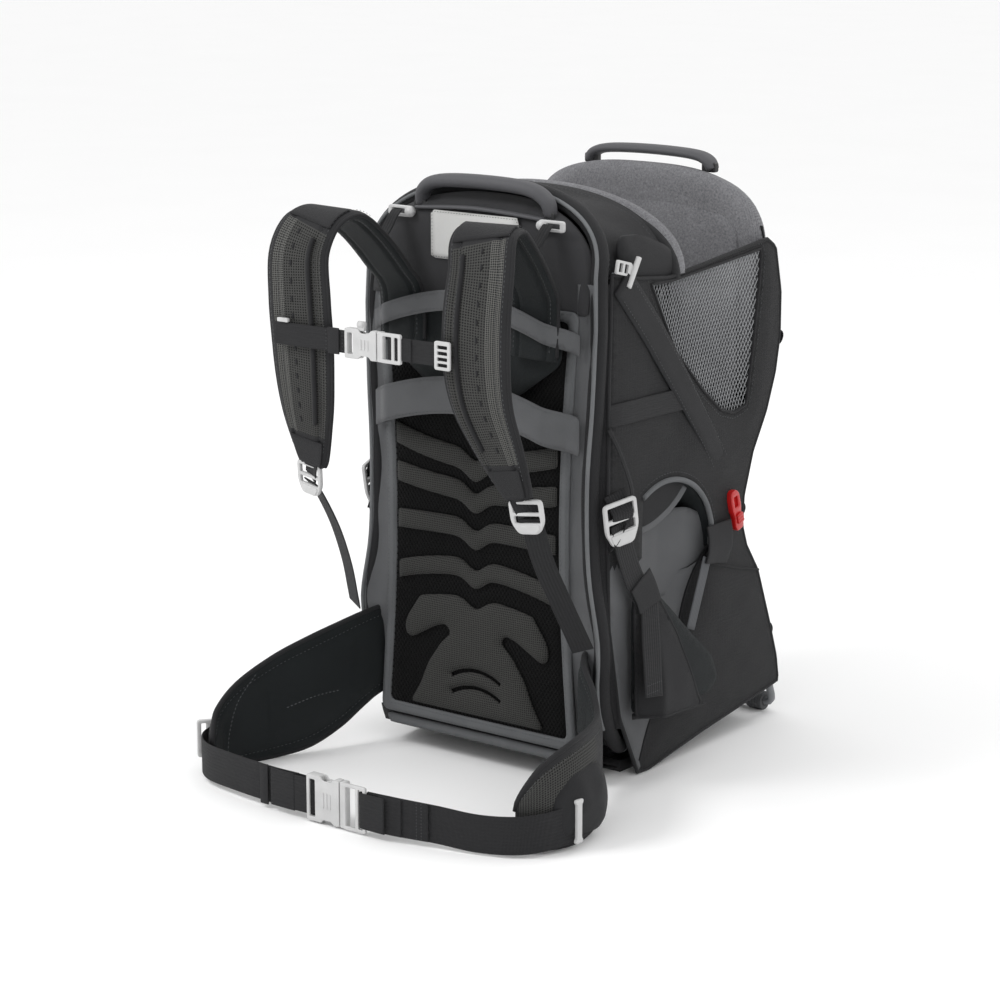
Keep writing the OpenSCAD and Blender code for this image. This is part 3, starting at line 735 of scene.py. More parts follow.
def line_distance(points, line):
    """Distance of each point from a line of points."""
    best = np.full(len(points), 1e9)
    for a, b in zip(line[:-1], line[1:]):
        ab = b - a
        t = np.clip(((points - a) @ ab) / max(ab @ ab, 1e-9), 0, 1)
        best = np.minimum(best, np.linalg.norm(points - a - t[:, None] * ab, axis=1))
    return best


def side_height(p):
    """How far the side's cloth stands out of its plane: seams pull in, and the calf gusset dips inward."""
    seams = np.minimum(line_distance(p, CALF_SEAM), line_distance(p, np.array(LOWER_SEAM, float)))
    edges = edge_distance(p, [np.array(WINDOW, float), np.array(SIDE_OUTLINE, float)])
    full = 1 - np.exp(-np.minimum(seams, edges) / 30)
    up = np.clip((p[:, 1] - 110) / 120, 0, 1)
    dip = 34 * np.exp(-(((p[:, 0] - 52) / 52) ** 2)) * up * up * (3 - 2 * up) * (p[:, 1] < 262)
    creases = 1.8 * ripple(p * (1, 0.35), 70, 3) + 0.9 * ripple(p, 34, 5)
    return full * (3.5 + creases) - dip


def side_place(s):
    """Puts points given as y and z on the side's plane, with heights outward."""
    return lambda p, h: np.stack([s * (HALF_W - 2 + h + 0 * p[:, 0]), p[:, 0], p[:, 1]], 1)


def make_sides():
    """Side panels with window, leg opening and straps on each side."""
    calf = np.array(CALF, float)
    for s, side in LEFT_RIGHT:
        place = side_place(s)
        body = panel(
            "side_body_" + side, SIDE_OUTLINE, place, [BODY, LINING, GREY], holes=[WINDOW, LEG_HOLE], step=8,
            thick=2.4, marks=[CALF_SEAM, np.array(LOWER_SEAM, float)], shape=side_height,
            zone=lambda c: np.where(inside(c, calf), 2, 0)
        )
        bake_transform(body)
        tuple(FOLD_START)
        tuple(FOLD_END)
        cut_cloth(SIDE_OUTLINE, [WINDOW, LEG_HOLE])
        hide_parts("side_panel_" + side)
        for name, line, r, material in (
            ("calf_piping_", CALF_SEAM, 1.6, BODY), ("lower_seam_", along(LOWER_SEAM, 8), 1.5, BODY),
            ("hem_piping_", along(SIDE_OUTLINE, 8, closed=True), 2.4, STRAP)
        ):
            closed = name == "hem_piping_"
            line = np.array(line, float)
            path = place(line, side_height(line) + (0 if closed else 1.2))
            piece = loft(name + side, sweep(path, circle(r, 10), (1, 0, 0), closed), material, closed)
            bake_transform(piece)
            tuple(FOLD_START)
            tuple(FOLD_END)
        make_window(s, side)
        make_leg_hole(s, side, place)
        make_side_straps(s, side)


def clip_line(origin, direction, loop):
    """The stretches of a straight line that lie inside an outline."""
    across = np.array([-direction[1], direction[0]])
    d = (loop - origin) @ across
    t = (loop - origin) @ direction
    cuts = []
    for i in range(len(loop)):
        k = (i + 1) % len(loop)
        if (d[i] > 0) != (d[k] > 0):
            cuts.append(t[i] + (t[k] - t[i]) * d[i] / (d[i] - d[k]))
    cuts.sort()
    return [(origin + a * direction, origin + b * direction) for a,
            b in zip(cuts[::2], cuts[1::2]) if b - a > 2]


def net(name, outline, place, material, pitch, r, angle=32):
    """A net of crossing strands over an outline."""
    loop = np.array(outline, float)
    middle, reach = loop.mean(0), np.ptp(loop, axis=0).max()
    rods = []
    for turn, lift in ((angle, r), (180 - angle, -r)):
        direction = np.array([math.cos(math.radians(turn)), math.sin(math.radians(turn))])
        across = np.array([-direction[1], direction[0]])
        for k in np.arange(-reach, reach, pitch):
            for a, b in clip_line(middle + k * across, direction, loop):
                flat = along([a, b], 14)
                rods.append(sweep(place(flat, np.full(len(flat), lift)), circle(r, 5), (0.3, 0.5, 0.8)))
    verts, faces = [], []
    for rings in rods:
        start = sum(len(v) for v in verts)
        m, n = rings.shape[:2]
        verts.append(rings.reshape(-1, 3))
        faces += [(start + j * n + i, start + j * n + (i + 1) % n, start + (j + 1) * n + (i + 1) % n,
                   start + (j + 1) * n + i) for j in range(m - 1) for i in range(n)]
        faces += [tuple(start + i for i in range(n))[::-1], tuple(start + (m - 1) * n + i for i in range(n))]
    return make(name, np.concatenate(verts), faces, material, closed=False)


def make_window(s, side):
    """Net window with its binding and a row of stitches round it."""
    loop = along(WINDOW, 9, closed=True)

    def place(p, h):
        sag = 7 * (1 - np.exp(-edge_distance(p, [loop]) / 40))
        return np.stack([s * (HALF_W - 2.5 - sag + h), p[:, 0], p[:, 1]], 1)

    mesh = net("window_net_" + side, loop, place, NET, 5.2, 0.55, angle=58)
    fit(mesh, "root", "window_mesh", "side_mesh_" + side)
    rim = place(loop, 1.5)
    fit(loft("window_binding_" + side, sweep(rim, circle(2.2, 12, 0.8), (1, 0, 0), True), STRAP, True),
        "root", "body_fabric")
    _, _, out = axes_along(loop @ np.array([[0, 1, 0], [0, 0, 1]]), (1, 0, 0), True)
    wide = loop + out[:, 1:] * -7 * np.sign((out[:, 1:] * (loop - loop.mean(0))).sum(1).mean()) * -1
    wide = wide[inside(wide, np.array(SIDE_OUTLINE, float))]
    sew("root", np.stack([s * (HALF_W - 0.3 + side_height(wide)), wide[:, 0], wide[:, 1]], 1), (s, 0, 0))


def make_leg_hole(s, side, place):
    """Binding, flap and inner gusset of the opening for the child's leg."""
    arc = smooth(LEG_ARC, 2)
    path = place(arc, side_height(arc) + 1)
    rim = loft("leg_hole_binding_" + side, sweep(path, circle(3.4, 12), (1, 0, 0)), TRIM)
    fit(rim, "root", "trim_fabric")
    rings = []
    for p in arc:
        inward = unit(np.array([38, 250]) - p)
        rows = [(0, 0), (12, 2), (26, 5), (40, 9)]
        outer = [(s * (HALF_W - 2 - d), *(p + inward * k)) for d, k in rows]
        inner = [(s * (HALF_W - 2 - d), *(p + inward * (k + 2.4))) for d, k in rows[::-1]]
        rings.append(outer + inner)
    fit(loft("leg_hole_cuff_" + side, np.array(rings), LINING), "root", "body_fabric")
    wider = np.array([38, 250]) + (arc - (38, 250)) * 1.09
    sew("root", place(wider, side_height(wider) + 1.4), (s, 0, 0))
    hem = smooth([(-22, 292), (6, 292), (30, 296), (54, 306), (72, 318), (84, 332)], 6)
    top = smooth(LEG_ARC, 2)[::-1]
    top = top[(top[:, 1] > 300) & (top[:, 0] < 96)]
    flap_outline = np.concatenate([hem, top[::-1]]) if top[0][0] < top[-1][0] else np.concatenate([hem, top])

    def hollow(p, h):
        low = np.clip((348 - p[:, 1]) / 56, 0, 1)
        return np.stack([s * (HALF_W - 5 - 9 * low + h), p[:, 0], p[:, 1]], 1)

    flap = panel("leg_flap_" + side, flap_outline, hollow, [STRAP, LINING], step=5, thick=2,
                 shape=lambda p: ripple(p, 40, 4))
    fit(flap, "root", "body_fabric")
    cut_cloth(flap_outline)
    edge = hollow(hem, np.full(len(hem), 1.6))
    fit(loft("leg_flap_hem_" + side, sweep(edge, band(8, 1.8, 6), (0, 0.35, 1)), GREY), "root", "trim_fabric")
    gusset = [(-14, 206), (30, 200), (86, 198), (132, 206), (142, 262), (132, 288), (104, 302), (50, 306),
              (0, 284), (-16, 262)]

    def folds(p, h):
        return np.stack([s * (HALF_W - 26 + 14 * np.abs(p[:, 0] - 58) / 78 + 6 * ripple(p, 70, 21) + h),
                         p[:, 0], p[:, 1]], 1)

    inner = panel("leg_gusset_" + side, rounded(gusset, 8), folds, [GREY, BODY], step=6, thick=1.8)
    fit(inner, "root", "body_fabric")
    cut_cloth(gusset)


def make_side_straps(s, side):
    """Diagonal sleeve, side band and loops on a side panel."""
    x = HALF_W + 1
    # sleeve over the diagonal strut
    route = along([(s * (x + 1), -58, 594), (s * (x + 3), 0, 530), (s * (x + 3.5), 62, 456),
                   (s * (x + 2), 118, 388), (s * (x - 2), 154, 345), (s * (x - 5), 168, 328)], 9)
    a = np.linspace(0, 1, len(route))
    sections = np.array([pad_section(38 - 8 * k + 3 * math.sin(5 * k), 5.5, 16, power=3.5) for k in a])
    sleeve = loft("strut_sleeve_" + side, sweep(route, sections, (0, 0.75, 0.66)), STRAP)
    fit(sleeve, "root", "body_fabric")
    for k in (-15, 13):
        offset = np.array([0, 0.75, 0.66]) * k
        sew("root", route[2:-2] + offset + (s * 3.0, 0, 0), (s, 0, 0))
    # flat webbing across the side, from the frame to the sleeve
    run = [(s * (x - 2), -76, 441), (s * (x + 2.2), -50, 442), (s * (x + 3), 10, 442), (s * (x + 3), 70, 441)]
    fit(loft("side_webbing_" + side, sweep(smooth(run, 5), band(26, 1.8), (0, 0, 1)), WEB), "root", "webbing")
    # thin elastic loop from the frame's edge to the stirrup's ladder lock and back
    run = [(s * (x + 1), -80, 428), (s * (x + 7), -70, 405), (s * (x + 11), -56, 372),
           (s * (x + 12), -49, 350), (s * (x + 12), -52, 325), (s * (x + 9), -66, 300), (s * (x + 3), -80, 286)]
    fit(loft("side_loop_" + side, sweep(smooth(run, 6), band(7, 1.6, 4), (0, 0.6, 0.4)), WEB), "root",
        "webbing")
    # short webbing from the sleeve's foot down to the calf seam, under a folded tab
    run = [(s * (x + 4), 118, 240), (s * (x + 4.5), 103, 205), (s * (x + 3), 86, 158)]
    fit(loft("calf_webbing_" + side, sweep(smooth(run, 6), band(17, 1.6), (0, 1, -0.35)), WEB_GREY), "root",
        "webbing")
    run = [(s * (x + 4), 142, 278), (s * (x + 7), 142, 262), (s * (x + 8), 139, 246), (s * (x + 5), 136, 230)]
    fit(loft("hinge_tab_" + side, sweep(smooth(run, 5), band(50, 2.6, 12), (0, 1, 0.1)), STRAP), "root",
        "body_fabric")


def make_net_loops():
    """Small webbing loops down the rear edges."""
    pieces = []
    for s in (1, -1):
        for y, z, lean in ((281, 479, 0.35), (203, 280, 0.1), (271, 118, -0.3)):
            base = np.array([s * 160, y - 2, z])
            out = unit(np.array([s * 0.2, 1, lean]))
            run = [base + (0, 0, -9), base + out * 12 + (0, 0, -7), base + out * 16,
                   base + out * 12 + (0, 0, 7),
                   base + (0, 0, 9)]
            pieces.append(loft("loop", sweep(smooth(run, 5), band(12, 1.6, 4), (1, 0, 0)), WEB))
    loops = join("rear_loops", pieces)
    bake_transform(loops)
    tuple(FOLD_START)
    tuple(FOLD_END)


# ---- back panel ----

PANEL_Y = -100
PANEL_HALF = 134


def panel_edge(grow, low, high, count=19):
    """Waisted outline of the suspended panel, grown by some millimetres."""
    k = np.linspace(0, 1, count)
    x, z = PANEL_HALF + grow - 13 * np.sin(np.pi * k), low + (high - low) * k
    return np.concatenate([np.stack([x, z], 1), np.stack([-x, z], 1)[::-1]])


def facing_back(y):
    """Puts x and z points on the plane at y, with heights toward the wearer."""
    return lambda p, h: np.stack([p[:, 0], y - h + 0 * p[:, 0], p[:, 1]], 1)


def rib_line(x, base, lift):
    """Heights along a foam rib at each place across the panel."""
    return base + lift * (1 - (x / PANEL_HALF) ** 2) - 14 * np.exp(-((x / 16) ** 2))


def rib(base, lift, thick, reach):
    """Outline of a foam rib."""
    x = np.linspace(-reach, reach, 49)
    low = np.stack([x, rib_line(x, base, lift)], 1)
    return np.concatenate([low, (low + (0, thick))[::-1]])


def lumbar_outline():
    """Outline of the lumbar pad."""
    x = np.linspace(84, -84, 29)
    crest = np.stack([x, rib_line(x, 182, 24)], 1).tolist()
    right = [(100, 62), (84, 88), (72, 116), (52, 144), (38, 156), (40, 163), (46, 167), (60, 163), (96, 143),
             (105, 145), (108, 155), (104, 168)]
    return [(-100, 62)] + right + crest + [(-x, z) for x, z in right[:0:-1]]


def arc_slot(top):
    """Outline of a curved slot in the lumbar pad."""
    a = np.radians(np.linspace(58, 122, 15))
    ring = np.stack([np.cos(a), np.sin(a)], 1)
    return np.concatenate([ring * 72, (ring * 67)[::-1]]) + (0, top - 72)


def make_back_panel():
    """Suspended mesh, its edge trim, the foam ribs and the lumbar pad."""
    outer = rounded(panel_edge(13, 44, 560)[[0, *range(2, 17), 18, 19, *range(21, 36), 37]], 12)
    inner = rounded(panel_edge(0, 57, 548)[[0, *range(2, 17), 18, 19, *range(21, 36), 37]], 8)
    trim = panel("panel_trim_cloth", outer, facing_back(-97), [TRIM, BODY], [inner], step=5, thick=4,
                 rise=1.8, soft=4)
    fit(trim, "root", "trim_fabric", "panel_trim")
    for grow, low, high in ((10.5, 46.5, 557), (3, 54, 551)):
        ring = rounded(panel_edge(grow, low, high), 8)
        sew("root", facing_back(PANEL_Y - 0.6)(ring, np.zeros(len(ring))), (0, -1, 0), closed=True)
    mesh_outline = panel_edge(-0.4, 57.4, 547.6)
    sheet = panel("back_mesh_cloth", mesh_outline, facing_back(-96), [BACK, BACK], step=14, thick=1)
    fit(sheet, "root", "back_mesh", "back_mesh")
    cut_cloth(mesh_outline)
    fit(net("back_mesh_strands", mesh_outline, facing_back(-97.2), BACK, 4.4, 0.5, 55), "root", "back_mesh")
    for i in range(4):
        base, lift = ((208, 23), (275, 3), (336, -14), (384, -24))[i]
        pad = panel(f"rib_pad_{i + 1}", rib(base, lift, 22 + i, 116 + i), facing_back(-99.4),
                    [FOAM, BACK], step=5, thick=2, rise=3.4, soft=5)
        fit(pad, "root", "foam_mesh")
    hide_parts("rib_pads")
    pad = panel("lumbar_foam", rounded(lumbar_outline(), 6), facing_back(-99.4), [FOAM, BACK],
                [arc_slot(98), arc_slot(119)], step=5, thick=2, rise=4.4, soft=7)
    fit(pad, "root", "foam_mesh", "lumbar_pad")
    band_outline = rounded([(-140, 27), (146, 27), (149, 39), (-143, 39)], 4)
    fit(panel("lower_trim", band_outline, facing_back(-92), [TRIM, BODY], step=6, thick=3, rise=1.2, soft=4),
        "root", "trim_fabric")

    def apron_line(t, k):
        y, z = np.array([(-94, 48), (-91, 38), (-86, 26), (-60, 16), (-24, 8)])[int(round(t * 4))]
        return np.stack([152 * (2 * k - 1), np.full(len(k), y), np.full(len(k), z)], 1)

    apron = sheet_loft("front_apron", apron_line, 5, 31, (0, 1, 0), 2, [BODY, LINING], two_faced)
    fit(apron, "root", "body_fabric")
    spread_cloth(apron_line, 5, 31)
    make_ladder_bands()
    make_upper_back()
    make_frame_gussets()


def band_place(p, h):
    """Ladder bands stand off the mesh and turn back to the trim at their ends."""
    t = np.clip((np.abs(p[:, 0]) - 112) / 36, 0, 1)
    return np.stack([p[:, 0], -124.5 - h + 24 * t * t * (3 - 2 * t), p[:, 1]], 1)


def make_ladder_bands():
    """The two cross bands that the harness hangs on."""
    pieces = []
    for base, height, lift in ((511, 24, 40), (396, 44, 34)):
        x = np.linspace(-150, 150, 41)
        low = np.stack([x, base + lift * (1 - (np.abs(x) / 150) ** 1.7)], 1)
        outline = np.concatenate([low, (low + (0, height))[::-1]])
        pieces.append(panel("band", outline, band_place, [GREY, BODY], step=6, thick=2, rise=0.8, soft=5))
        for up in (3, height - 3):
            line = low[2:-2] + (0, up)
            sew("root", band_place(line, np.full(len(line), 1.6)), (0, -1, 0))
    fit(join("ladder_webbings", pieces), "root", "trim_fabric", "ladder_bands")


def make_upper_back():
    """Face above the back panel, with its blank label."""
    outline = np.concatenate([arch(157, 601, 681, 2.3), [(-157, 556), (157, 556)]])
    edge = [np.array(outline)]

    def place(p, h):
        near = np.exp(-edge_distance(p, edge) / 9)
        up = np.clip((p[:, 1] - 560) / 60, 0, 1)
        rim = -84 + 20 * np.clip((p[:, 1] - 600) / 80, 0, 1) * (1 - (p[:, 0] / 157) ** 2)
        return np.stack([p[:, 0], -94.5 + (rim + 94.5) * near * up - h, p[:, 1]], 1)

    face = panel("upper_back_cloth", outline, place, [FACE, BODY], step=7, thick=3, rise=1.2, soft=6,
                 shape=lambda p: 0.8 * ripple(p, 60, 2))
    fit(face, "root", "body_fabric", "upper_back_panel")
    label = panel("care_label_blank", box_outline(-66, 604, 62, 660, 3), facing_back(-98.4), [LABEL, LABEL],
                  step=8,
                  thick=0.8, shape=lambda p: 0.9 * ripple(p * (1, 0.4), 50, 4))
    fit(label, "root", "trim_fabric")
    ring = box_outline(-64, 606, 60, 658, 3)
    sew("root", facing_back(-99.4)(ring, np.zeros(len(ring))), (0, -1, 0), closed=True, dash=2.4, gap=1.6)


def frame_point(z):
    """Point on the perimeter frame at a height."""
    side = smooth(FRAME_SIDE, 5)
    return np.stack([np.interp(z, side[:, 2], side[:, 0]), np.interp(z, side[:, 2], side[:, 1]), z], 1)


def make_frame_gussets():
    """Cloth from the panel's trim out to the frame, and from the frame back to the bag's sides."""
    z = np.linspace(66, 592, 60)
    frame_line = frame_point(z)
    k = (z - 44) / 516
    trim_x = PANEL_HALF + 10 - 13 * np.sin(np.pi * np.clip(k, 0, 1))
    trim_line = np.stack([trim_x, np.full(60, -96.5), z], 1)
    front_line = frame_line + np.stack([np.full(60, 1.0), np.full(60, -10.6), np.zeros(60)], 1)
    bag_y = np.interp(z, [80, 190, 300, 480, 602], [-50, -72, -76, -76, -72]) + 2
    bag_line = np.stack([np.full(60, 174.0), bag_y, z], 1)
    for name, start, end, sag, material in (
        ("inner_gusset_", trim_line, front_line, 4, GREY),
        ("outer_gusset_", frame_line + (5, 4, 0), bag_line, -2, BODY)
    ):
        rings = []
        for a, b, up in zip(start, end, z):
            t = np.linspace(0, 1, 9)[:, None]
            row = a + (b - a) * t + np.array([0, 1, 0]) * sag * np.sin(np.pi * t)
            row = row + np.array([0, 1, 0]) * 1.1 * math.sin(up / 17) * np.sin(np.pi * t)
            rings.append(np.concatenate([row, (row + (0, 2.2, 0))[::-1]]))
        for s, side in LEFT_RIGHT:
            piece = loft(name + side, np.array(rings) if s > 0 else mirror(np.array(rings)), material)
            fit(piece, "root", "body_fabric")
    outline = box_outline(-150, 60, 150, 596, 20)
    wall = panel("bag_front_cloth", outline, facing_back(-64), [BODY, LINING], step=16, thick=3, rise=1,
                 shape=lambda p: 2 * ripple(p, 90, 6))
    fit(wall, "root", "body_fabric", "bag_front")


# ---- harness ----

STRAP_POINTS = [
    (96, -114, 505), (98, -114, 566), (103, -134, 597), (108, -168, 634), (114, -206, 662),
    (122, -238, 656), (131, -255, 622), (128, -259, 570), (126, -257, 520), (129, -251, 475),
    (139, -236, 428), (148, -219, 384), (152, -212, 368)
]
STRAP_WIDTHS = [64, 64, 68, 72, 78, 82, 86, 90, 90, 84, 70, 48, 34]
PAD_T = 13


def strap_zone(at, around):
    """Which cloth shows at a place on a strap: its binding, its lining or the mesh on its front."""
    if around > 0.5:
        return 1
    if 0.43 < at < 0.86 and 0.1 < around < 0.42:
        return 3 if around < 0.19 else 2
    return 0


def make_straps():
    """Both shoulder straps with their lining, mesh strips and seams."""
    path = smooth(STRAP_POINTS, 8)
    widths = smooth([[w] for w in STRAP_WIDTHS], 8)[:, 0]
    _, across, out = axes_along(path, (1, 0, 0))
    sections = np.array([pad_section(w, PAD_T, 24, (0.62,)) for w in widths])
    rings = sweep(path, sections)

    def line(share, height, start, end):
        """Points over the strap, at a share of its half width and a height over its middle surface."""
        cut = slice(int(start * len(path)), int(end * len(path)))
        edge = share * widths[cut, None] / 2
        return path[cut] + across[cut] * edge + out[cut] * height, out[cut]

    for s, side in LEFT_RIGHT:
        flip = np.array([s, 1, 1])

        def turned(shape):
            return shape if s > 0 else mirror(shape)

        zone = strap_zone if s > 0 else lambda at, around: strap_zone(at, 1 - around)
        pad = loft("shoulder_pad_" + side, turned(rings), [STRAP, LINING, SPACER, MESH_STRIP], zone=zone)
        fit(pad, "harness", "pad_fabric", "shoulder_strap_" + side)
        trims = []
        for share in (-1, 1):
            edge, normal = line(share * 0.985, 0, 0.02, 0.995)
            trims.append(loft("edge", turned(sweep(edge, circle(2.4, 12), normal)), STRAP))
        dots, normal = line(0.12, PAD_T / 2 + 0.2, 0.46, 0.84)
        for k in range(0, len(dots), 3):
            ahead = unit(np.gradient(dots, axis=0))[k]
            stud = [dots[k] - ahead * 3, dots[k], dots[k] + ahead * 3]
            trims.append(loft("stud", turned(sweep(stud, circle(1.7, 8, 0.5), np.cross(normal[k], ahead))),
                              STRAP))
        rail, normal = line(-0.48, PAD_T / 2 + 0.8, 0.46, 0.84)
        trims.append(loft("rail", turned(sweep(rail, circle(3.0, 12), normal)), STRAP))
        for start, end, wide in ((0.87, 0.97, 0.8), (0.36, 0.44, 0.86)):
            patch, normal = line(0, PAD_T / 2 + 0.2, start, end)
            cut = slice(int(start * len(path)), int(end * len(path)))
            wides = np.array([band(wide * w, 1.6, 8) for w in widths[cut]])
            trims.append(loft("patch", turned(sweep(patch, wides,
                    np.cross(normal, unit(np.gradient(patch, axis=0))))), STRAP))
        fit(join("shoulder_strap_trims_" + side, trims), "harness", "webbing")
        for share in (-0.86, -0.62, 0.62, 0.86):
            row, normal = line(share, PAD_T / 2 - (2.2 if abs(share) < 0.7 else 0.6), 0.3, 0.9)
            sew("harness", row * flip, normal * flip)
        for share in (-0.8, 0.8):
            row, normal = line(share, -PAD_T / 2 + 0.2, 0.03, 0.4)
            sew("harness", row * flip, -normal * flip)
    yoke = panel("harness_yoke_pad", rounded([
        (-60, 452), (60, 452), (128, 500), (124, 556), (40, 552), (-40, 552), (-124, 556), (-128, 500)
    ], 14), facing_back(-103.2), [LINING, BODY], step=7, thick=2.6, rise=1, soft=8)
    fit(yoke, "harness", "pad_fabric", "harness_yoke")
    make_strap_hardware()


def ladder_lock(name, wide, high, thick, place):
    """Ladder lock: a rounded frame with a middle bar over two openings, and a broad finger lip below."""
    w, h = wide / 2, high / 2
    shell = rounded([(-w, h), (w, h), (w, -h * 0.3), (w * 0.62, -h), (-w * 0.62, -h), (-w, -h * 0.3)][::-1],
                    6)
    holes = [box_outline(-w + 5, h * 0.26, w - 5, h - 5, 1.5),
             box_outline(-w + 5, -h * 0.36, w - 5, h * 0.06, 1.5)]
    piece = moulded(name, shell, holes, thick, place, BUCKLE, 1.2)
    lip = rounded([(-w * 0.8, -h * 0.42), (w * 0.8, -h * 0.42), (w * 0.56, -h * 0.94),
                   (-w * 0.56, -h * 0.94)], 5)
    step = moulded(name + "_lip", lip[::-1], [], thick * 0.5,
                   place @ Matrix.Translation((0, 0, thick * 0.5)), BUCKLE, 0.8)
    return join(name, [piece, step])


def make_strap_hardware():
    """Ladder locks, lower webbings and load lifters of the shoulder straps."""
    for s, side in LEFT_RIGHT:
        place = placed((s * 160, -209, 348), (1, s * 0.16, s * 0.1), (-s * 0.22, -0.16, 1))
        fit(ladder_lock("strap_ladder_lock_" + side, 42, 40, 5, place), "harness", "buckle_plastic")
        tongue = smooth([(151, -214, 376), (156, -211, 362), (161, -207, 350)], 5)
        web = smooth([(162, -208, 345), (159, -196, 330), (155, -172, 286), (160, -146, 236),
                      (168, -126, 192), (171, -119, 176)], 6)
        pieces = []
        for route, w in ((tongue, 27), (web, 27)):
            rings = sweep(route, band(w, 1.7), (0.9, 0.42, 0))
            pieces.append(loft("web", rings if s > 0 else mirror(rings), WEB))
        fit(join("lower_webbing_" + side, pieces), "harness", "webbing")
        lifter = smooth([(110, -106, 657), (110, -108, 656), (110, -115, 650), (109, -127, 637),
                         (107, -146, 622)], 6)
        rings = sweep(lifter, band(15, 1.7, 5))
        fit(loft("lifter_webbing_" + side, rings if s > 0 else mirror(rings), WEB), "harness", "webbing")
    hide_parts("strap_locks")
    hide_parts("lower_webbings")
    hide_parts("lifter_webbings")


# ---- side-release buckles ----


def socket(name, length, w, t, place):
    """Socket of a side-release buckle, its mouth at x = 0 and its webbing bar at x = -length."""
    h = w / 2
    shell = rounded([
        (-length, -h), (-0.56 * length, -h), (-0.5 * length, -h + 4.2), (-0.24 * length, -h + 4.2),
                     (-0.17 * length, -h),
        (0, -h + 0.6), (0, h - 0.6), (-0.17 * length, h), (-0.24 * length, h - 4.2), (-0.5 * length, h - 4.2),
        (-0.56 * length, h), (-length, h)
    ], 2.2)
    slot_hole = box_outline(-length + 4, -h + 5, -0.74 * length, h - 5, 1.5)
    parts = [
        moulded(name, shell, [slot_hole], 2.2, place @ Matrix.Translation((0, 0, k * (t / 2 - 1.1))), BUCKLE,
                0.7)
        for k in (-1, 1)
    ]
    parts.append(moulded(name + "_core", box_outline(-length, -h, -0.6 * length, h, 2.4),
                         [box_outline(-length + 4, -h + 5, -0.74 * length, h - 5, 1.5)], t - 3.4, place,
                         BUCKLE, 0.5))
    for k in (-1, 1):
        rail = box_outline(-0.17 * length, min(k * h, k * (h - 3)), 0, max(k * h, k * (h - 3)), 0.8)
        parts.append(moulded(name + "_rail", rail, [], t - 3.4, place, BUCKLE, 0.4))
    for k in range(3):
        rib_outline = box_outline(-0.5 * length + 5 * k, -h * 0.34, -0.5 * length + 5 * k + 2, h * 0.34, 0.9)
        parts.append(moulded(name + "_rib", rib_outline, [], 1.2,
                             place @ Matrix.Translation((0, 0, t / 2 + 0.2)), BUCKLE, 0.4))
    return join(name, parts)


def plug(name, length, w, t, place):
    """Plug of a side-release buckle: two sprung arms, a middle tongue and a frame for its webbing."""
    h, reach = w / 2, length * 0.5
    parts = [moulded(name, box_outline(0.6, -h, 8, h, 2), [], t - 2, place, BUCKLE, 0.9)]
    for k in (-1, 1):
        arm = [(1, k * (h - 7.6)), (-0.62 * reach, k * (h - 8)), (-reach, k * (h - 9)),
               (-reach, k * (h - 6.4)),
               (-0.74 * reach, k * (h - 3.7)), (-0.56 * reach, k * (h - 3.7)), (-0.5 * reach, k * (h - 5)),
               (1, k * (h - 4.6))]
        parts.append(moulded(name + "_arm", rounded(arm, 1.2), [], t - 5.6, place, BUCKLE, 0.5))
    parts.append(moulded(name + "_tongue", box_outline(-0.7 * reach, -2, 1.5, 2, 1), [], t - 6, place,
                         BUCKLE, 0.4))
    ring = box_outline(6, -h, 0.8 * length, h, 3)
    holes = [box_outline(9.5, -h + 4, 0.5 * length, h - 4, 1.5),
             box_outline(0.5 * length + 4, -h + 4, 0.8 * length - 4, h - 4, 1.5)]
    parts.append(moulded(name + "_frame", ring, holes, 4, place @ Matrix.Translation((0, 0, t / 2 - 2)),
                         BUCKLE, 0.8))
    return join(name, parts)


def flat_web(name, points, w, material=None, t=1.8, side=(0, 0, 1), cells=8):
    """A webbing of some width that follows a path."""
    return loft(name, sweep(smooth(points, 6), band(w, t, cells), side), material or WEB)


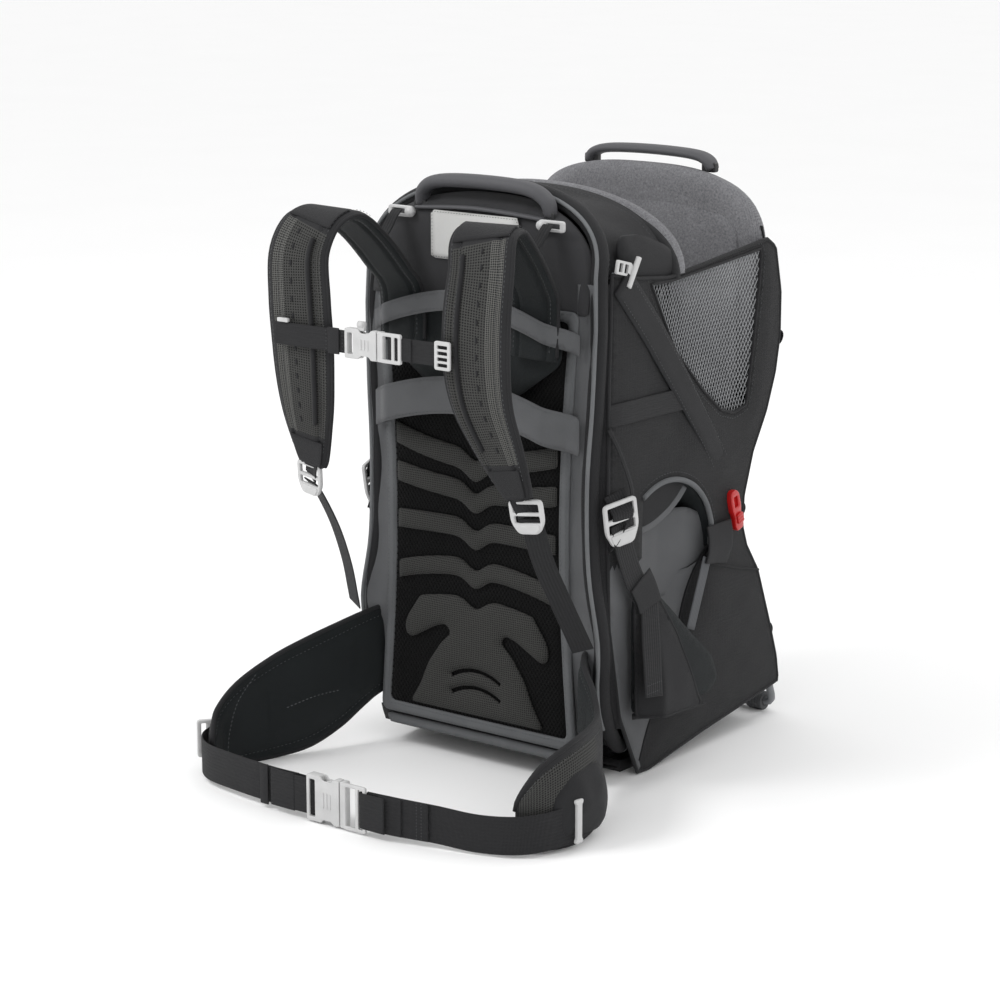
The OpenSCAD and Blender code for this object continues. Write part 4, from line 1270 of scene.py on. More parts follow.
def make_sternum():
    """Sternum strap: buckle with whistle, webbings and sliders."""
    y, z = -270, 530
    facing = placed((-2, y, z), (1, 0, 0), (0, 0, 1))
    body = socket("sternum_socket", 46, 34, 9, facing)
    whistle = loft("whistle", sweep([(-30, y, z + 22), (-26, y, z + 22), (-22, y, z + 22)], circle(4, 16),
                                    (0, 0, 1)), BUCKLE)
    neck = moulded("whistle_neck", box_outline(-5, -4, 5, 6, 1), [], 5,
                   placed((-26, y, z + 19), (1, 0, 0), (0, 0, 1)), BUCKLE)
    fit(join("sternum_socket", [body, whistle, neck]), "sternum", "buckle_plastic", "sternum_buckle_female")
    fit(plug("sternum_plug", 44, 34, 9, facing), "sternum_plug", "buckle_plastic", "sternum_buckle_male")
    fit(flat_web("sternum_plug_web", [(14, y - 1.9, z), (22, y - 1.9, z), (40, y - 1.6, z),
                                      (47, y - 1.6, z)], 25),
        "sternum_plug", "webbing")
    webs = [
        flat_web("web", [(-157, y, z), (-120, y - 0.4, z), (-80, y + 0.4, z), (-46, y, z)], 26),
        flat_web("web", [(-74, y - 2.0, z), (-66, y - 2.2, z), (-58, y - 2.0, z)], 30, STRAP, 1.4),
    ]
    fit(join("sternum_webs", webs), "sternum", "webbing", "sternum_webbings")
    pulled = flat_web("sternum_web_left", [(32, y, z), (60, y - 0.3, z), (99, y, z)], 26, cells=12)
    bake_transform(pulled)
    for x in (-78, -54, 88):
        sew("sternum", [(x, y - 1.1, z - 10), (x, y - 1.1, z + 10)], (0, -1, 0), dash=2.4, gap=1)
    clip = rounded([(-11, -16), (11, -16), (11, 16), (-11, 16)], 3)
    slots = [box_outline(-7, -12.5 + 6.6 * k, 7, -8.6 + 6.6 * k, 1) for k in range(4)]
    left = moulded("clip", clip, slots, 3, placed((92, y - 2.8, z), (1, 0, 0), (0, 0, 1)), BUCKLE, 0.7)
    right = moulded("slider", box_outline(-8, -2.4, 8, 2.4, 1.6), [], 4.4,
                    placed((-142, y - 1.2, z + 15.8), (1, 0, 0), (0, 0, 1)), BUCKLE)
    fit(join("sternum_slides", [left, right]), "sternum", "buckle_plastic", "sternum_sliders")


# ---- hip belt ----

WING_RIGHT = [
    (-154, -88, 64, 170), (-158, -102, 58, 168), (-164, -120, 46, 164), (-175, -146, 26, 156),
    (-190, -184, 8, 144), (-208, -226, 2, 127), (-224, -272, 2, 102), (-228, -304, 4, 76),
              (-212, -330, 10, 58)
]
WING_LEFT = [
    (154, -88, 64, 166), (160, -102, 58, 164), (173, -118, 46, 156), (198, -136, 24, 139),
    (226, -166, 6, 123), (250, -212, 2, 124), (258, -258, 2, 119), (246, -296, 4, 99), (226, -316, 10, 68)
]
BUCKLE_Y, HIP_Z = -368, 29


def swell(obj, pinned, pressure=4.0, cap=6.0):
    """Cloth simulation that puffs a sewn pad up between its pinned points, and moves none of them past cap."""
    rest = np.zeros(len(obj.data.vertices) * 3)
    obj.data.vertices.foreach_get("co", rest)
    group = obj.vertex_groups.new(name="sewn")
    group.add([int(i) for i in np.nonzero(pinned)[0]], 1.0, "REPLACE")
    cloth = obj.modifiers.new("swell", "CLOTH")
    settings = cloth.settings
    settings.vertex_group_mass = "sewn"
    settings.use_pressure = True
    settings.uniform_pressure_force = pressure
    settings.effector_weights.gravity = 0
    settings.tension_stiffness = settings.compression_stiffness = 12
    settings.bending_stiffness = 1.5
    cloth.point_cache.frame_start, cloth.point_cache.frame_end = 1, 20
    scene = bpy.context.scene
    for number in range(1, 21):
        scene.frame_set(number)
    moved = obj.evaluated_get(bpy.context.evaluated_depsgraph_get()).data
    out = np.zeros(len(rest))
    moved.vertices.foreach_get("co", out)
    step = (out - rest).reshape(-1, 3)
    length = np.linalg.norm(step, axis=1, keepdims=True)
    step *= np.minimum(1, cap * MM / np.maximum(length, 1e-9))
    obj.modifiers.remove(cloth)
    obj.vertex_groups.remove(group)
    obj.data.vertices.foreach_set("co", (rest.reshape(-1, 3) + step).ravel())
    obj.data.update()
    scene.frame_set(1)


def make_wing(side, points, patch):
    """One padded wing of the hip belt."""
    p = smooth(points, 9)
    ahead = unit(np.gradient(p[:, :2], axis=0))
    out = np.stack([ahead[:, 1], -ahead[:, 0], np.zeros(len(p))], 1)
    if (out[:, 0] * p[:, 0]).mean() < 0:
        out = -out
    middle = np.stack([p[:, 0], p[:, 1], (p[:, 2] + p[:, 3]) / 2], 1)
    tip = np.clip((len(p) - 1 - np.arange(len(p))) / 10, 0, 1)
    high = (p[:, 3] - p[:, 2]) * (0.35 + 0.65 * np.sqrt(1 - (1 - tip) ** 2))
    cells, grooves = 26, (0.8,)
    thick = 5 + 8 * np.sqrt(1 - (1 - tip) ** 2)
    sections = np.array([pad_section(h, t, cells, grooves) for h, t in zip(high, thick)])
    up = np.array([0, 0, 1.0])
    rings = middle[:, None] + sections[..., :1] * up + sections[..., 1:] * out[:, None]

    def zone(at, around):
        if around > 0.5:
            return 1
        return 2 if patch[0] < at < patch[1] and 0.1 < around < 0.4 else 0

    wing = loft("hip_pad_" + side, rings, [STRAP, LINING, SPACER], zone=zone)
    shares = np.abs(sections[0, :, 0]) / (high[0] / 2)
    ring_pins = (np.abs(shares - 0.8) < 0.05) | (shares > 0.97)
    rows = np.arange(len(p))
    pinned = (np.zeros((len(p), len(shares)), bool) | ring_pins | (rows[:, None] < 2) | (rows[:,
            None] > len(p) - 3)
              | (rows[:, None] % 27 == 20)).ravel()
    swell(wing, pinned, 5.0, 5.0)
    fit(wing, "root", "pad_fabric", "hip_wing_" + side)
    trims = [loft("edge", sweep(middle + up * (k * high[:, None] / 2), circle(3.2, 12), out),
                  STRAP) for k in (-0.98, 0.98)]
    fit(join("hip_wing_binding_" + side, trims), "root", "pad_fabric")
    for share in (-0.8, 0.8):
        for k in (-1, 1):
            row = middle[3:-3] + up * (share * high[3:-3, None] / 2) + out[3:-3] * k * 4.1
            sew("root", row, out[3:-3] * k)


def make_hip_pocket():
    """Stretch pocket on the outside of the left wing, behind the webbing."""
    outline = rounded([(-50, 10), (38, 8), (48, 40), (34, 84), (-24, 92), (-52, 60)], 16)

    def place(p, h):
        x = 256 + 3 * np.cos(p[:, 0] / 40)
        return np.stack([x + h, -238 + p[:, 0], p[:, 1]], 1)

    pocket = panel("hip_pocket", outline, place, [STRAP, STRAP], step=6, thick=4, rise=21, soft=22,
                   shape=lambda p: 1.8 * ripple(p, 38, 17))
    fit(pocket, "root", "pad_fabric")


def bar_wrap(x, away, y, w, gap=3.2):
    """Webbing turned round a buckle's bar: comes in behind it and folds back in front, away from the mouth."""
    run = [(x + away * 26, y + gap, HIP_Z), (x + away * 8, y + gap, HIP_Z),
           (x - away * 4, y + gap * 0.8, HIP_Z),
           (x - away * 7, y, HIP_Z), (x - away * 4, y - gap * 0.8, HIP_Z), (x + away * 8, y - gap, HIP_Z),
           (x + away * 30, y - gap, HIP_Z)]
    return flat_web("wrap", run, w, cells=12)


def make_hip_webs():
    """Hip webbings, their folds, and the hip buckle."""
    left = [(268, -262, 30), (258, -302, 28), (236, -328, 26), (196, -345, 25), (150, -356, 28),
            (104, -364, HIP_Z), (60, BUCKLE_Y, HIP_Z)]
    right = [(-238, -290, 34), (-232, -324, 30), (-206, -346, 28), (-160, -358, HIP_Z), (-90, -366, HIP_Z),
             (-44, BUCKLE_Y + 2, HIP_Z)]
    main = flat_web("web", left, 44, cells=12)
    lap = flat_web("web", [(140, -360, HIP_Z), (110, -366, HIP_Z), (70, -370.6, HIP_Z)], 44, cells=12)
    web = join("hip_web_left", [main, lap])
    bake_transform(web)
    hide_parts("hip_webbing_left")
    main = flat_web("web", right, 44, cells=12)
    keeper = flat_web("web", [(-88, -369.4, HIP_Z), (-94, -369.6, HIP_Z), (-100, -368.8, HIP_Z)], 48, STRAP,
                      1.6)
    fold = flat_web("web", [(-46, -371.4, HIP_Z), (-60, -371.4, HIP_Z), (-82, -370.6, HIP_Z)], 44, cells=12)
    wrap = bar_wrap(-23.5, -1, BUCKLE_Y, 42)
    fit(join("hip_web_right", [main, fold, keeper, wrap]), "root", "webbing", "hip_webbing_right")
    for x, y in ((-60, -371.6), (-74, -371.4), (132, -363.0), (126, -364.0)):
        sew("root", [(x, y, HIP_Z - 20), (x, y, HIP_Z + 20)], (0, -1, 0), dash=2.6, gap=1)
    facing = placed((22, BUCKLE_Y, HIP_Z), (1, 0, 0), (0, 0, 1))
    fit(socket("hip_socket", 48, 54, 12, facing), "root", "buckle_plastic", "hip_buckle_female")
    fit(plug("hip_plug", 48, 54, 12, facing), "hip_plug", "buckle_plastic", "hip_buckle_male")
    plug_web = [bar_wrap(58.5, 1, BUCKLE_Y - 3.6, 42, 2.6),
                flat_web("web", [(78, -371.4, HIP_Z), (92, -370, HIP_Z), (108, -368, HIP_Z)], 43, cells=12)]
    fit(join("hip_plug_web", plug_web), "hip_plug", "webbing")
    slots = [box_outline(-9, -19, -3, 19, 1.5), box_outline(3, -19, 9, 19, 1.5)]
    ladder = moulded("ladder", box_outline(-14, -23, 14, 23, 4), slots, 6,
                     placed((-249, -297, 35), (-0.62, -0.78, 0), (0, 0, 1)), BUCKLE, 1.2)
    bar = rounded([(-4, -19), (-6, -21), (-6, -25), (6, -25), (6, -21), (4, -19), (4, 19), (6, 21), (6, 25),
                   (-6, 25), (-6, 21), (-4, 19)], 2)
    tbar = moulded("tbar", bar, [], 5, placed((274, -265, 34), (0, 1, 0), (0, 0, 1)), BUCKLE, 1.2)
    fit(join("hip_slides", [ladder, tbar]), "root", "buckle_plastic", "hip_web_guides")


def make_belt():
    """The hip belt."""
    make_wing("right", WING_RIGHT, (2, 2))
    make_wing("left", WING_LEFT, (0.6, 0.97))
    crease = smooth([(-176, -158, 76), (-186, -188, 74), (-199, -222, 66)], 8) + (9.5, 0, 0)
    sew("root", crease, (0.93, -0.36, 0), dash=4, gap=1, wide=1.4)
    crease = smooth([(-213, -262, 112), (-219, -286, 84), (-220, -300, 50), (-216, -308, 24)], 8) + (9, -1, 0)
    sew("root", crease, (0.98, -0.2, 0), dash=4, gap=1, wide=1.2)
    make_hip_pocket()
    make_hip_webs()


# ---- cockpit ----


def sheet_loft(name, line_of, rows, columns, thick_dir, thick, materials, zone=None):
    """Thin closed sheet: line_of(t) gives a row of points and each is doubled a thickness away."""
    rings = []
    for t in np.linspace(0, 1, rows):
        line = line_of(t, np.linspace(0, 1, columns))
        away = thick_dir(line) if callable(thick_dir) else np.array(thick_dir)
        rings.append(np.concatenate([line, (line + away * thick)[::-1]]))
    return loft(name, np.array(rings), materials, zone=zone)


def two_faced(at, around):
    """Zones of a sheet: the outer face first, then the inner one."""
    return 0 if around < 0.5 else 1


def make_cockpit():
    """Front wall, rim, roof of the front pocket, lining and the child's back pad."""
    outline = np.concatenate([arch(168, 575, 684, 2.2), [(-152, 525), (-152, 400), (152, 400), (152, 525)]])
    wall = panel("front_wall_pad", outline, facing_back(39), [STRAP, KNIT], step=8, thick=14, rise=4, back=5,
                 soft=16)
    fit(wall, "root", "knit_fabric", "front_wall")
    roll = arch(166, 588, 676, 2.2, 61)
    wrap = 31 * np.abs(roll[:, 0] / 166) ** 2.4
    roll = np.stack([roll[:, 0], 34 + wrap, roll[:, 1]], 1)
    fit(loft("front_rim_roll", sweep(along(roll, 7), circle(10.5, 20), (0, 1, 0)), KNIT), "root",
                  "knit_fabric")
    skin = roll * (1.01, 1, 1) + (0, -9, -5)
    fit(loft("front_rim_facing", sweep(along(skin, 7), circle(9, 18), (0, 1, 0)), STRAP), "root",
        "body_fabric")
    for s in (1, -1):
        nose = panel("rim_nose", rounded([(-54, 626), (-44, 596), (-10, 582), (40, 580), (70, 586),
                                          (72, 600), (44, 622), (-8, 641), (-48, 643)], 12),
                     lambda p, h: np.stack([s * (166 + h), p[:, 0], p[:, 1]], 1), [STRAP, STRAP],
                     step=6, thick=4, rise=5, back=4, soft=10)
        fit(nose, "root", "body_fabric")

    def cowl_line(t, k):
        a = np.pi * k
        front = bowed_arch(162, 598, 687, 2.3, -80, 30, len(k))
        rear = arch(169, 583, 684, 2.25, len(k))
        rear = np.stack([rear[:, 0], 26 + 31 * np.abs(rear[:, 0] / 169) ** 2.4, rear[:, 1]], 1)
        row = front + (rear - front) * t
        row[:, 2] -= 5 * math.sin(math.pi * t) * np.sin(a) + 1.2 * np.sin(a * 9 + 4 * t) * math.sin(math.pi * t)
        return row

    cowl = sheet_loft("top_cowl_cloth", cowl_line, 14, 61, (0, 0, -1), 3, [STRAP, LINING], two_faced)
    fit(cowl, "root", "body_fabric", "top_cowl")
    spread_cloth(cowl_line, 14, 61)
    for t in (0.12, 0.86):
        sew("root", cowl_line(t, np.linspace(0.04, 0.96, 61)) + (0, 0, 0.2), (0, 0, 1))
    lining = np.concatenate([arch(171, 585, 690, 2.8), [(-164, 420), (164, 420)]])

    def lining_place(p, h):
        bend = 10 * (1 - (np.abs(p[:, 0]) / 171) ** 6)
        return np.stack([p[:, 0], 243 - bend - h + 8 * np.clip((560 - p[:, 1]) / 140, 0, 1), p[:, 1]], 1)

    rear = panel("cockpit_lining", lining, lining_place, [KNIT, BODY], step=8, thick=10, rise=8, back=5,
                 soft=8,
                 shape=lambda p: 1.2 * ripple(p, 120, 7))
    fit(rear, "root", "knit_fabric")
    pad = np.concatenate([arch(146, 590, 652, 3), [(-146, 409), (146, 409)]])
    quilt = [np.array([(x, 405), (x, 548)]) for x in (-66, 66)] + [np.array([(-150, 548), (150, 548)])]

    def seams(p):
        return -3 * np.exp(-((np.min([line_distance(p, q) for q in quilt], axis=0) / 6) ** 2))

    cushion = panel("child_back_pad", pad, facing_back(223), [KNIT, BODY], step=7, thick=3, rise=8, back=1,
                    soft=44,
                    marks=quilt, shape=seams)
    co = np.array([v.co for v in cushion.data.vertices]) / MM
    flat = co[:, [0, 2]]
    held = (np.min([line_distance(flat, q) for q in quilt], axis=0) < 4) | (edge_distance(flat,
            [pad]) < 3) | (co[:, 1] > 222)
    swell(cushion, held, 4.0, 5.0)
    fit(cushion, "root", "knit_fabric", "back_cushion")
    make_seat()
    make_side_linings()


def make_side_linings():
    """Knit inside the right side of the cockpit, above the seat; the left one is made and then removed."""
    for s, side in LEFT_RIGHT:
        outline = [(52, 470), (236, 470), (238, 602), (232, 602), (41, 582)]
        lining = panel("cockpit_side_" + side, outline, lambda p,
                       h: np.stack([s * (160 - h - 7 * np.sin(np.clip(
            (p[:, 0] - 41) / 190, 0, 1) * np.pi)), p[:, 0], p[:, 1]], 1), [KNIT, BODY], step=12, thick=2,
            shape=lambda p: 1.5 * ripple(p, 80, 5))
        if s < 0:
            fit(lining, "root", "knit_fabric")
        else:
            bpy.data.objects.remove(lining)


def make_seat():
    """Seat cushion, crotch strap, buckle and shoulder pads of the child."""
    outline = box_outline(-112, 56, 112, 158, 18)
    place = lambda p, h: np.stack([p[:, 0], p[:, 1], 275 + h + 0 * p[:, 0]], 1)
    groove = [np.array([(-112, 107), (112, 107)]), np.array([(-40, 56), (-40, 158)]),
              np.array([(40, 56), (40, 158)])]
    seat = panel("seat_cushion", outline, place, [KNIT, BODY], step=6, thick=14, rise=3, back=1, soft=9,
                 marks=groove,
                 shape=lambda p: -2.5 * np.exp(-((np.min([line_distance(p, q) for q in groove],
                                                         axis=0) / 5) ** 2)))
    co = np.array([v.co for v in seat.data.vertices]) / MM
    held = (co[:, 2] < 277) | (np.min([line_distance(co[:, :2], q) for q in groove], axis=0) < 4)
    swell(seat, held, 4.0, 5.0)
    fit(seat, "seat", "trim_fabric", "seat_pad")
    ears = []
    for s in (1, -1):
        ear = lambda p, h: np.stack([s * (115 + h) + 0 * p[:, 0], p[:, 0], p[:, 1]], 1)
        ears.append(panel("ear", rounded([(40, 190), (120, 190), (156, 262), (158, 288), (40, 288)], 10), ear,
                          [STRAP, KNIT], step=8, thick=2.4, rise=0.8, shape=lambda p: 0.8 * ripple(p, 50, 8)))
    fit(join("seat_sides", ears), "seat", "trim_fabric")
    fit(flat_web("crotch_web", [(0, 64, 290), (0, 70, 310), (0, 74, 332), (0, 78, 396)], 28, side=(1, 0, 0)),
        "seat", "webbing", "crotch_strap")
    case = rounded([(-24, -22), (24, -22), (24, 10), (14, 23), (-14, 23), (-24, 10)], 5)
    ring = [(12.6 * math.cos(a), 12.6 * math.sin(a)) for a in np.linspace(0, 2 * np.pi, 32, endpoint=False)]
    facing = placed((0, 78, 417), (1, 0, 0), (0, 0, 1))
    parts = [moulded("case", case, [ring], 8, facing @ Matrix.Translation((0, 0, 4)), NYLON, 1.4),
             moulded("case_back", case, [], 7.6, facing @ Matrix.Translation((0, 0, -4)), NYLON, 1.4)]
    fit(join("child_buckle_case", parts), "seat", "grip_plastic", "child_buckle")
    finish_cad("child_buckle_button", RED, 0.6)
    pads = []
    for s in (1, -1):
        path = smooth([(s * 38, 207, 552), (s * 43, 206, 510), (s * 46, 206, 464), (s * 44, 205, 420)], 8)
        pads.append(loft("pad", sweep(path, pad_section(40, 9, 16, (0.7,)), (1, 0, 0)), [STRAP, STRAP]))
        pads.append(flat_web("tail", [(s * 44, 205, 424), (s * 44, 205, 400), (s * 44, 205, 388)], 16,
                             side=(1, 0, 0)))
    fit(join("child_shoulder_pads", pads), "root", "pad_fabric", "child_straps")


# ---- rear of the bag ----

REAR_PROFILE = [(206, 334), (223, 356), (250, 400), (268, 445), (277, 490), (277, 543), (266, 590),
                (256, 624)]
LOWER_PROFILE = [(207, 340), (205, 300), (207, 264), (216, 236), (240, 200), (268, 130), (285, 80), (291, 46)]


def wrapped_row(y, z, k, half=171, wrap=16):
    """A row across the back that turns forward at both sides."""
    x = half * np.sin(np.pi / 2 * np.clip((2 * k - 1) * 1.0, -1, 1))
    fall = wrap * np.abs(x / half) ** 7
    return np.stack([x, y - fall, np.full(len(k), float(z))], 1)


def make_rear():
    """Rear cover, the lower cover on the kickstand, and the floor of the bag."""
    upper, lower = smooth(REAR_PROFILE, 4), smooth(LOWER_PROFILE, 5)

    def upper_line(t, k):
        y, z = upper[int(round(t * (len(upper) - 1)))]
        row = wrapped_row(y, z, k)
        row[:, 1] += 1.6 * ripple(np.stack([row[:, 0], np.full(len(k), z)], 1), 120, 9)
        return row

    cover = sheet_loft("rear_cover", upper_line, len(upper), 49, (0, -1, 0), 3, [BODY, LINING], two_faced)
    fit(cover, "root", "body_fabric", "rear_panel")
    spread_cloth(upper_line, len(upper), 49)

    def lower_line(t, k):
        y, z = lower[int(round(t * (len(lower) - 1)))]
        row = wrapped_row(y, z, k, 172, 8)
        row[:, 1] += 1.8 * ripple(np.stack([row[:, 0] * 1.3, np.full(len(k), z)], 1), 110, 11) - 0.5
        return row

    low = sheet_loft("rear_lower_cover", lower_line, len(lower), 49, (0, -1, 0), 2.6, [BODY, LINING],
                     two_faced)
    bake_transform(low)
    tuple(FOLD_START)
    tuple(FOLD_END)
    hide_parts("rear_lower_panel")
    spread_cloth(lower_line, len(lower), 49)
    base = smooth([(8, 9), (60, 15), (120, 25), (226, 40), (289, 47)], 5)

    def base_line(t, k):
        y, z = base[int(round(t * (len(base) - 1)))]
        x = 171 * (2 * k - 1)
        return np.stack([x, np.full(len(k), y), z + 1.2 * ripple(np.stack([x, np.full(len(k), y)], 1), 90,
                                                                 12)], 1)

    floor = sheet_loft("bag_floor", base_line, len(base), 41, (0, 0, -1), 2.6, [BODY, LINING], two_faced)
    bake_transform(floor)
    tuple(FOLD_START)
    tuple(FOLD_END)
    spread_cloth(base_line, len(base), 41)
    tray = sweep(smooth([(0, 24, 19), (0, 60, 22), (0, 88, 26), (0, 100, 34), (0, 102, 58)], 5),
                 band(322, 3.4, 30), (1, 0, 0))
    fit(loft("floor_board", tray, BODY), "root", "body_fabric", "base_tray")
    make_rear_pocket(upper)


def make_rear_pocket(profile):
    """Zipped pocket on the rear cover."""
    order = profile[np.argsort(profile[:, 1])]
    ripples = lambda x, z: 1.6 * ripple(np.stack([x, z], 1), 120, 9)

    def place(p, h):
        y = np.interp(p[:, 1], order[:, 1], order[:, 0]) - 16 * np.abs(p[:, 0] / 171) ** 7
        return np.stack([p[:, 0], y + ripples(p[:, 0], p[:, 1]) + h, p[:, 1]], 1)

    outline = rounded([(-112, 392), (112, 392), (124, 470), (112, 566), (-112, 566), (-124, 470)], 22)
    pocket = panel("rear_pocket", outline[::-1], place, [BODY, BODY], step=8, thick=3, rise=9, soft=26,
                   shape=lambda p: 1.2 * ripple(p, 55, 13))
    fit(pocket, "root", "body_fabric")
    edge = place(outline, np.full(len(outline), 1.6))
    fit(loft("rear_pocket_piping", sweep(edge, circle(2, 10), (0, 1, 0), True), TRIM, True), "root",
        "trim_fabric")
    zip_line = along(np.array([(-98, 548), (-60, 553), (0, 555), (60, 553), (98, 548)], float), 6)
    teeth = place(zip_line, np.full(len(zip_line), 9.5))
    parts = [loft("tape", sweep(teeth - (0, 1, 0), band(15, 1.2), (0, 0, 1)), STRAP),
             loft("coil", sweep(teeth, circle(1.8, 10), (0, 0, 1)), ZIP)]
    tab = moulded("pull", box_outline(-3, -22, 3, 0, 2), [box_outline(-1.4, -20, 1.4, -14, 1)], 2,
                  placed((88, teeth[-3][1] + 3, 551), (-1, 0, 0), (0, 0, 1)), NYLON, 0.6)
    fit(join("rear_pocket_zip", [*parts, tab]), "root", "black_plastic")
    for z in (430, 500):
        x = np.linspace(-104, 104, 40)
        row = np.stack([x, np.full(40, float(z))], 1)
        sew("root", place(row, np.full(40, 10.4)), (0, 1, 0))


# ---- handles, hooks, latches, stirrups ----


def finish_cad(node, material, bevel=0.8):
    """A CAD piece kept as it is, with its finish and softened edges."""
    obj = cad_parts[node]
    obj.data.materials.clear()
    obj.data.materials.append(material)
    if bevel:
        edge = obj.modifiers.new("soft_edges", "BEVEL")
        edge.width, edge.segments, edge.limit_method, edge.angle_limit = bevel * MM, 3, "ANGLE", math.radians(40)
        edge.harden_normals = False


def make_handles():
    """Front and rear grab handles."""
    front = smooth([(-94, -80, 662), (-89, -82, 680), (-64, -84, 692), (0, -84, 695), (64, -84, 692),
                    (89, -82, 680), (94, -80, 662)], 8)
    k = np.sin(np.linspace(0, np.pi, len(front))) ** 0.6
    sections = np.array([pad_section(14 + 12 * a, 12 + 4 * a, 20, power=2.8) for a in k])
    bar = loft("front_grip", sweep(front, sections, (0, 1, 0)), GRIP)
    rest = smooth([(-92, -92, 660), (-46, -96, 664), (0, -98, 666), (46, -96, 664), (92, -92, 660)], 6)
    base = loft("front_grip_base", sweep(rest, band(10, 4, 6), (0, 1, 0)), GRIP)
    ends = [moulded("end", box_outline(-9, -8, 9, 8, 4), [], 5,
                    placed((s * 93, -84, 660), (1, 0, 0), (0, 0, 1)), NYLON, 1) for s in (1, -1)]
    fit(join("front_grip_handle", [bar, base, *ends]), "root", "grip_plastic", "front_handle")
    rear = smooth([(-92, 248, 686), (-84, 249, 697), (-60, 250, 703), (0, 250, 705), (60, 250, 703),
                   (84, 249, 697), (92, 248, 686)], 8)
    k = np.sin(np.linspace(0, np.pi, len(rear))) ** 0.5
    sections = np.array([pad_section(16 + 12 * a, 13 - 1.5 * a, 20, power=3) for a in k])
    bar = loft("rear_grip", sweep(rear - (0, 0, 1), sections, (0, 1, 0)), GRIP)
    ends = [moulded("end", box_outline(-10, -6, 10, 6, 3), [], 8,
                    placed((s * 88, 248, 688), (1, 0, 0), (0, 0, 1)), NYLON, 1) for s in (1, -1)]
    fit(join("rear_grip_handle", [bar, *ends]), "root", "grip_plastic", "rear_handle")


def make_hooks():
    """Load-lifter hooks and the sunshade's T-bar hooks."""
    parts = []
    for s in (1, -1):
        parts.append(moulded("hook", box_outline(-18, -6.5, 18, 6.5, 4), [box_outline(-7, -3, 12, 3, 1.4)],
                             4.6,
                             placed((s * 110, -99.6, 655), (s, 0, 0), (0, 0, 1)), BUCKLE, 1.1))
        parts.append(loft("knob", sweep([(s * 96, -96, 655), (s * 96, -100, 655), (s * 96, -104, 655)],
                                        circle(5.4, 18), (1, 0, 0)), BUCKLE))
    fit(join("lifter_clips", parts), "root", "buckle_plastic", "lifter_hooks")
    parts = []
    for s in (1, -1):
        x = s * (HALF_W + 2.4)
        ladder = rounded([(-16, -8), (11, -8), (15, -4), (15, 4), (11, 8), (-16, 8)], 2.5)
        slots = [box_outline(-12, -5, -5, 5, 1), box_outline(-1, -5, 6, 5, 1)]
        parts.append(moulded("ladder", ladder, slots, 4, placed((x, -54, 608), (0, 1, -0.25), (0, 0.25, 1)),
                             BUCKLE, 0.9))
        bar = np.array([(x + s * 3, -50, 586), (x + s * 3, -40, 602), (x + s * 3, -30, 618)])
        parts.append(loft("tbar", sweep(along(bar, 3), circle(3.4, 16), (1, 0, 0)), BUCKLE))
    fit(join("sunshade_hooks", parts), "root", "buckle_plastic", "side_hooks")


def make_latches():
    """Red latches of the kickstand."""
    for s, side in LEFT_RIGHT:
        slide = Matrix.Rotation(math.radians(18), 4, "X")
        place = Matrix.Translation((s * (HALF_W + 5.1), 176, 290)) @ slide @ placed((0, 0, 0), (0, s, 0), (0, 0, 1))
        body = rounded([(-7, -28), (6, -28), (9, -18), (6.5, -8), (9, 2), (9, 18), (4, 24), (-6, 24),
                        (-9, 14), (-9, -2), (-6.5, -10), (-9, -20)], 3)
        parts = [moulded("latch", body, [box_outline(-4, 2, 4, 16, 2)], 8.6, place, RED, 1.6)]
        parts.append(moulded("lug", box_outline(-6, -19, 6, -6, 3), [], 3.4,
                             place @ Matrix.Translation((0, 0, 5.6)), RED, 1))
        parts.append(moulded("core", box_outline(-5, 0, 5, 18, 2), [], 4,
                             place @ Matrix.Translation((0, 0, -1.6)), RED, 0.6))
        for k in range(3):
            ridge = box_outline(-5, -17 + 4 * k, 5, -15.6 + 4 * k, 0.6)
            parts.append(moulded("ridge", ridge, [], 1.2, place @ Matrix.Translation((0, 0, 7.4)), RED, 0.3))
        fit(join("kickstand_latch_" + side, parts), "latch_" + side, "latch_plastic", "latch_" + side)


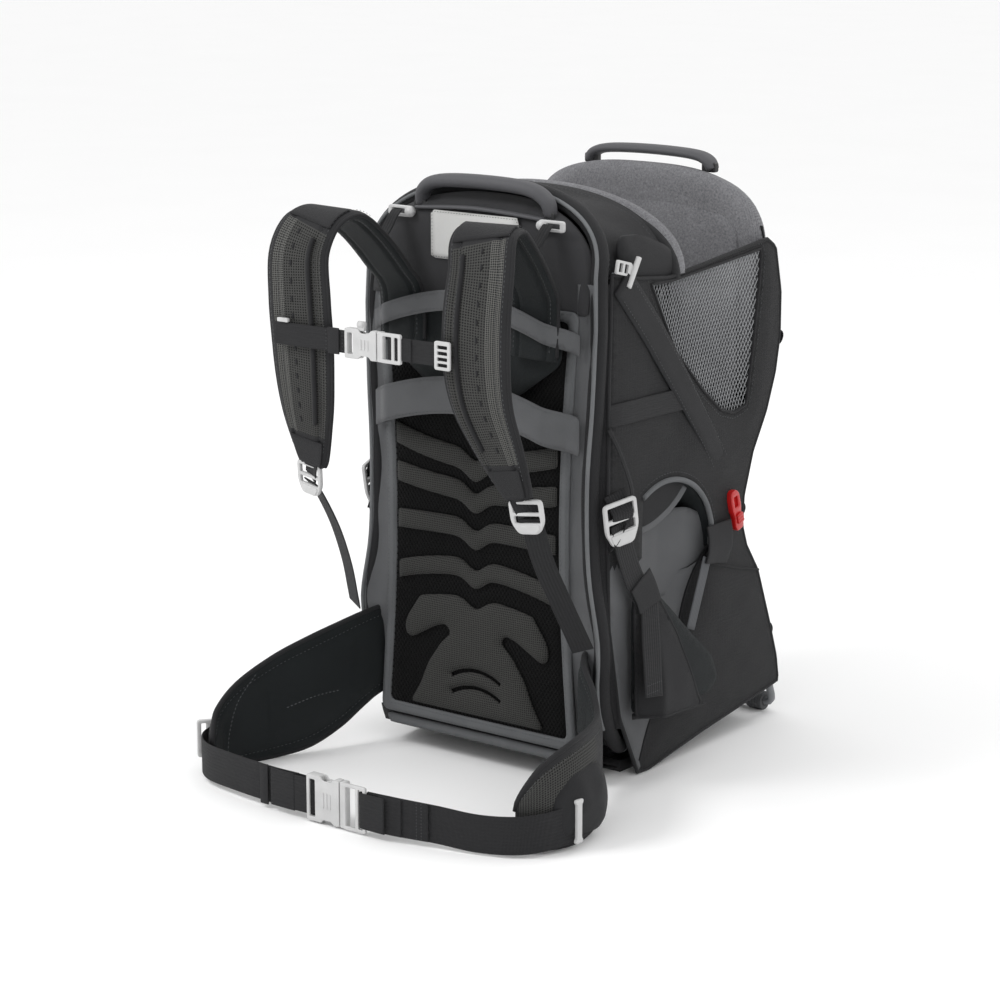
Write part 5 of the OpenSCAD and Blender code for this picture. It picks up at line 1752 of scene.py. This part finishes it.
def make_stirrups():
    """Foot stirrups with their webbings and ladder locks."""
    x0 = HALF_W + 10
    inner_outline = rounded([(-44, 86), (60, 80), (112, 74), (134, 90), (120, 120), (70, 162), (-8, 232),
                             (-46, 226)], 7)
    outer_outline = rounded([(-42, 84), (82, 80), (60, 122), (39, 168), (2, 218), (-46, 222)], 6)

    def bulge(p):
        low = np.clip((200 - p[:, 1]) / 90, 0, 1)
        ahead = np.clip((p[:, 0] + 54) / 60, 0, 1)
        return 27 * low * low * (3 - 2 * low) * ahead

    for s, side in LEFT_RIGHT:
        inner = panel("inner", inner_outline, lambda p, h: np.stack([s * (x0 + 2 + h), p[:, 0], p[:, 1]], 1),
                      [LINING, STRAP], step=7, thick=1.8, shape=lambda p: 1.2 * ripple(p, 45, 14))
        outer = panel("outer", outer_outline, lambda p,
                      h: np.stack([s * (x0 + 5 + h), p[:, 0] - bulge(p), p[:, 1]], 1),
                      [STRAP, LINING], step=6, thick=1.8, shape=lambda p: bulge(p) + 1.4 * ripple(p, 40, 15))

        def sole_line(t, k):
            y = -44 + 140 * t
            wide = 3 + 25 * min(1.0, t * 2.4)
            x = s * (x0 + 2 + wide * k)
            z = 86 - 8 * t - 5 * np.sin(np.pi * k)
            return np.stack([x, y - wide * k, z], 1)

        sole = sheet_loft("sole", sole_line, 16, 9, (0, 0, -1), 2, [STRAP, STRAP])
        hem = along(outer_outline, 5, closed=True)
        hem_path = np.stack([s * (x0 + 5 + bulge(hem) + 1.4 * ripple(hem, 40, 15)), hem[:, 0] - bulge(hem),
                             hem[:, 1]], 1)
        edge = loft("hem", sweep(hem_path, circle(1.7, 8), (1, 0, 0), True), WEB, True)
        sling = join("stirrup_sling_" + side, [inner, outer, sole, edge])
        fit(sling, "stirrup_" + side, "body_fabric", "stirrup_" + side)
        area = loop_area(inner_outline) + loop_area(outer_outline) + 28 * 140
        web = flat_web("web", [(s * (x0 - 4), -64, 316), (s * (x0 - 2), -62, 304), (s * (x0 + 0), -56, 280),
                               (s * (x0 + 3), -46, 252), (s * (x0 + 7), -30, 222)], 34,
                       side=(0, 1, 0.2))
        hung = flat_web("hung", [(s * (x0 + 9), -22, 224), (s * (x0 + 15), -27, 190),
                                 (s * (x0 + 26), -38, 150), (s * (x0 + 33), -44, 112)], 33,
                        side=(0, 1, 0.15))
        flap = flat_web("web", [(s * (x0 + 6.5), -36, 246), (s * (x0 + 9), -27, 228),
                                (s * (x0 + 12), -23, 212)], 44, STRAP, side=(0, 1, 0.2))
        web = join("web", [web, hung])
        fit(join("stirrup_web_" + side, [web, flap]), "stirrup_" + side, "webbing")
        for z in (118, 128):
            sew("stirrup_" + side, [(s * (x0 + 33), -56, z), (s * (x0 + 33), -30, z)], (s, 0, 0), dash=2.6,
                gap=1)
        place = placed((s * (HALF_W + 10), -66, 318), (s * 0.28, 1, 0.18), (0, -0.18, 1))
        fit(ladder_lock("stirrup_ladder_" + side, 48, 54, 4.6, place), "root", "buckle_plastic")
        over = flat_web("lock_web_" + side, [(s * (HALF_W + 2), -70, 352), (s * (HALF_W + 9), -68, 338),
                                             (s * (HALF_W + 13), -67, 330),
                                             (s * (HALF_W + 12.6), -66, 324),
                                             (s * (HALF_W + 10.5), -66, 320)], 30, side=(0.28 * s, 1, 0.1))
        fit(over, "root", "webbing")
    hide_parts("stirrup_locks")


def make_cad_finishes():
    """Materials on the CAD parts that show as they are."""
    finish_cad("base_skid", NYLON, 1.2)
    finish_cad("hinge_brackets", COAT, 0.5)
    finish_cad("hinge_pins", PIN, 0.3)


# ---- stage ----


def make_threads_and_stage():
    """Stitches and floor."""
    make_threads(THREAD)
    bpy.ops.mesh.primitive_plane_add(size=30)
    floor = bpy.context.object
    floor.name = "floor"
    s = Shader("floor_paper", 0.9)
    s.paint(s.noise(3, 2), "#f8f8f8", "#fbfbfb")
    floor.data.materials.append(s.bump(s.noise(900, 2), 0.05))


def area_light(name, place, aim, size, power):
    """A round lamp aimed at a point."""
    data = bpy.data.lights.new(name, "AREA")
    data.energy, data.size, data.shape = power, size, "DISK"
    lamp = bpy.data.objects.new(name, data)
    lamp.location = place
    lamp.rotation_mode = "QUATERNION"
    lamp.rotation_quaternion = (Vector(aim) - Vector(place)).to_track_quat("-Z", "Y")
    bpy.context.scene.collection.objects.link(lamp)


def make_lights():
    """Pale surroundings and three soft lamps."""
    world = bpy.data.worlds.new("studio")
    world.use_nodes = True
    world.node_tree.nodes["Background"].inputs[0].default_value = (1, 1, 1, 1)
    world.node_tree.nodes["Background"].inputs[1].default_value = 1.0
    bpy.context.scene.world = world
    bpy.context.scene.view_settings.view_transform = "Standard"
    middle = (0, 0, 0.35)
    area_light("key", (-1.2, -1.8, 2.6), middle, 1.1, 34)
    area_light("fill", (2.4, -1.0, 1.3), middle, 1.4, 5)
    area_light("rim", (0.6, 2.2, 2.4), middle, 1.0, 12)


for build in (make_frame, make_rods, make_kickstand, make_sides, make_net_loops, make_back_panel, make_straps,
              make_sternum, make_belt, make_cockpit, make_rear, make_handles, make_hooks, make_latches,
              make_stirrups, make_cad_finishes):
    build()
make_threads_and_stage()
make_lights()
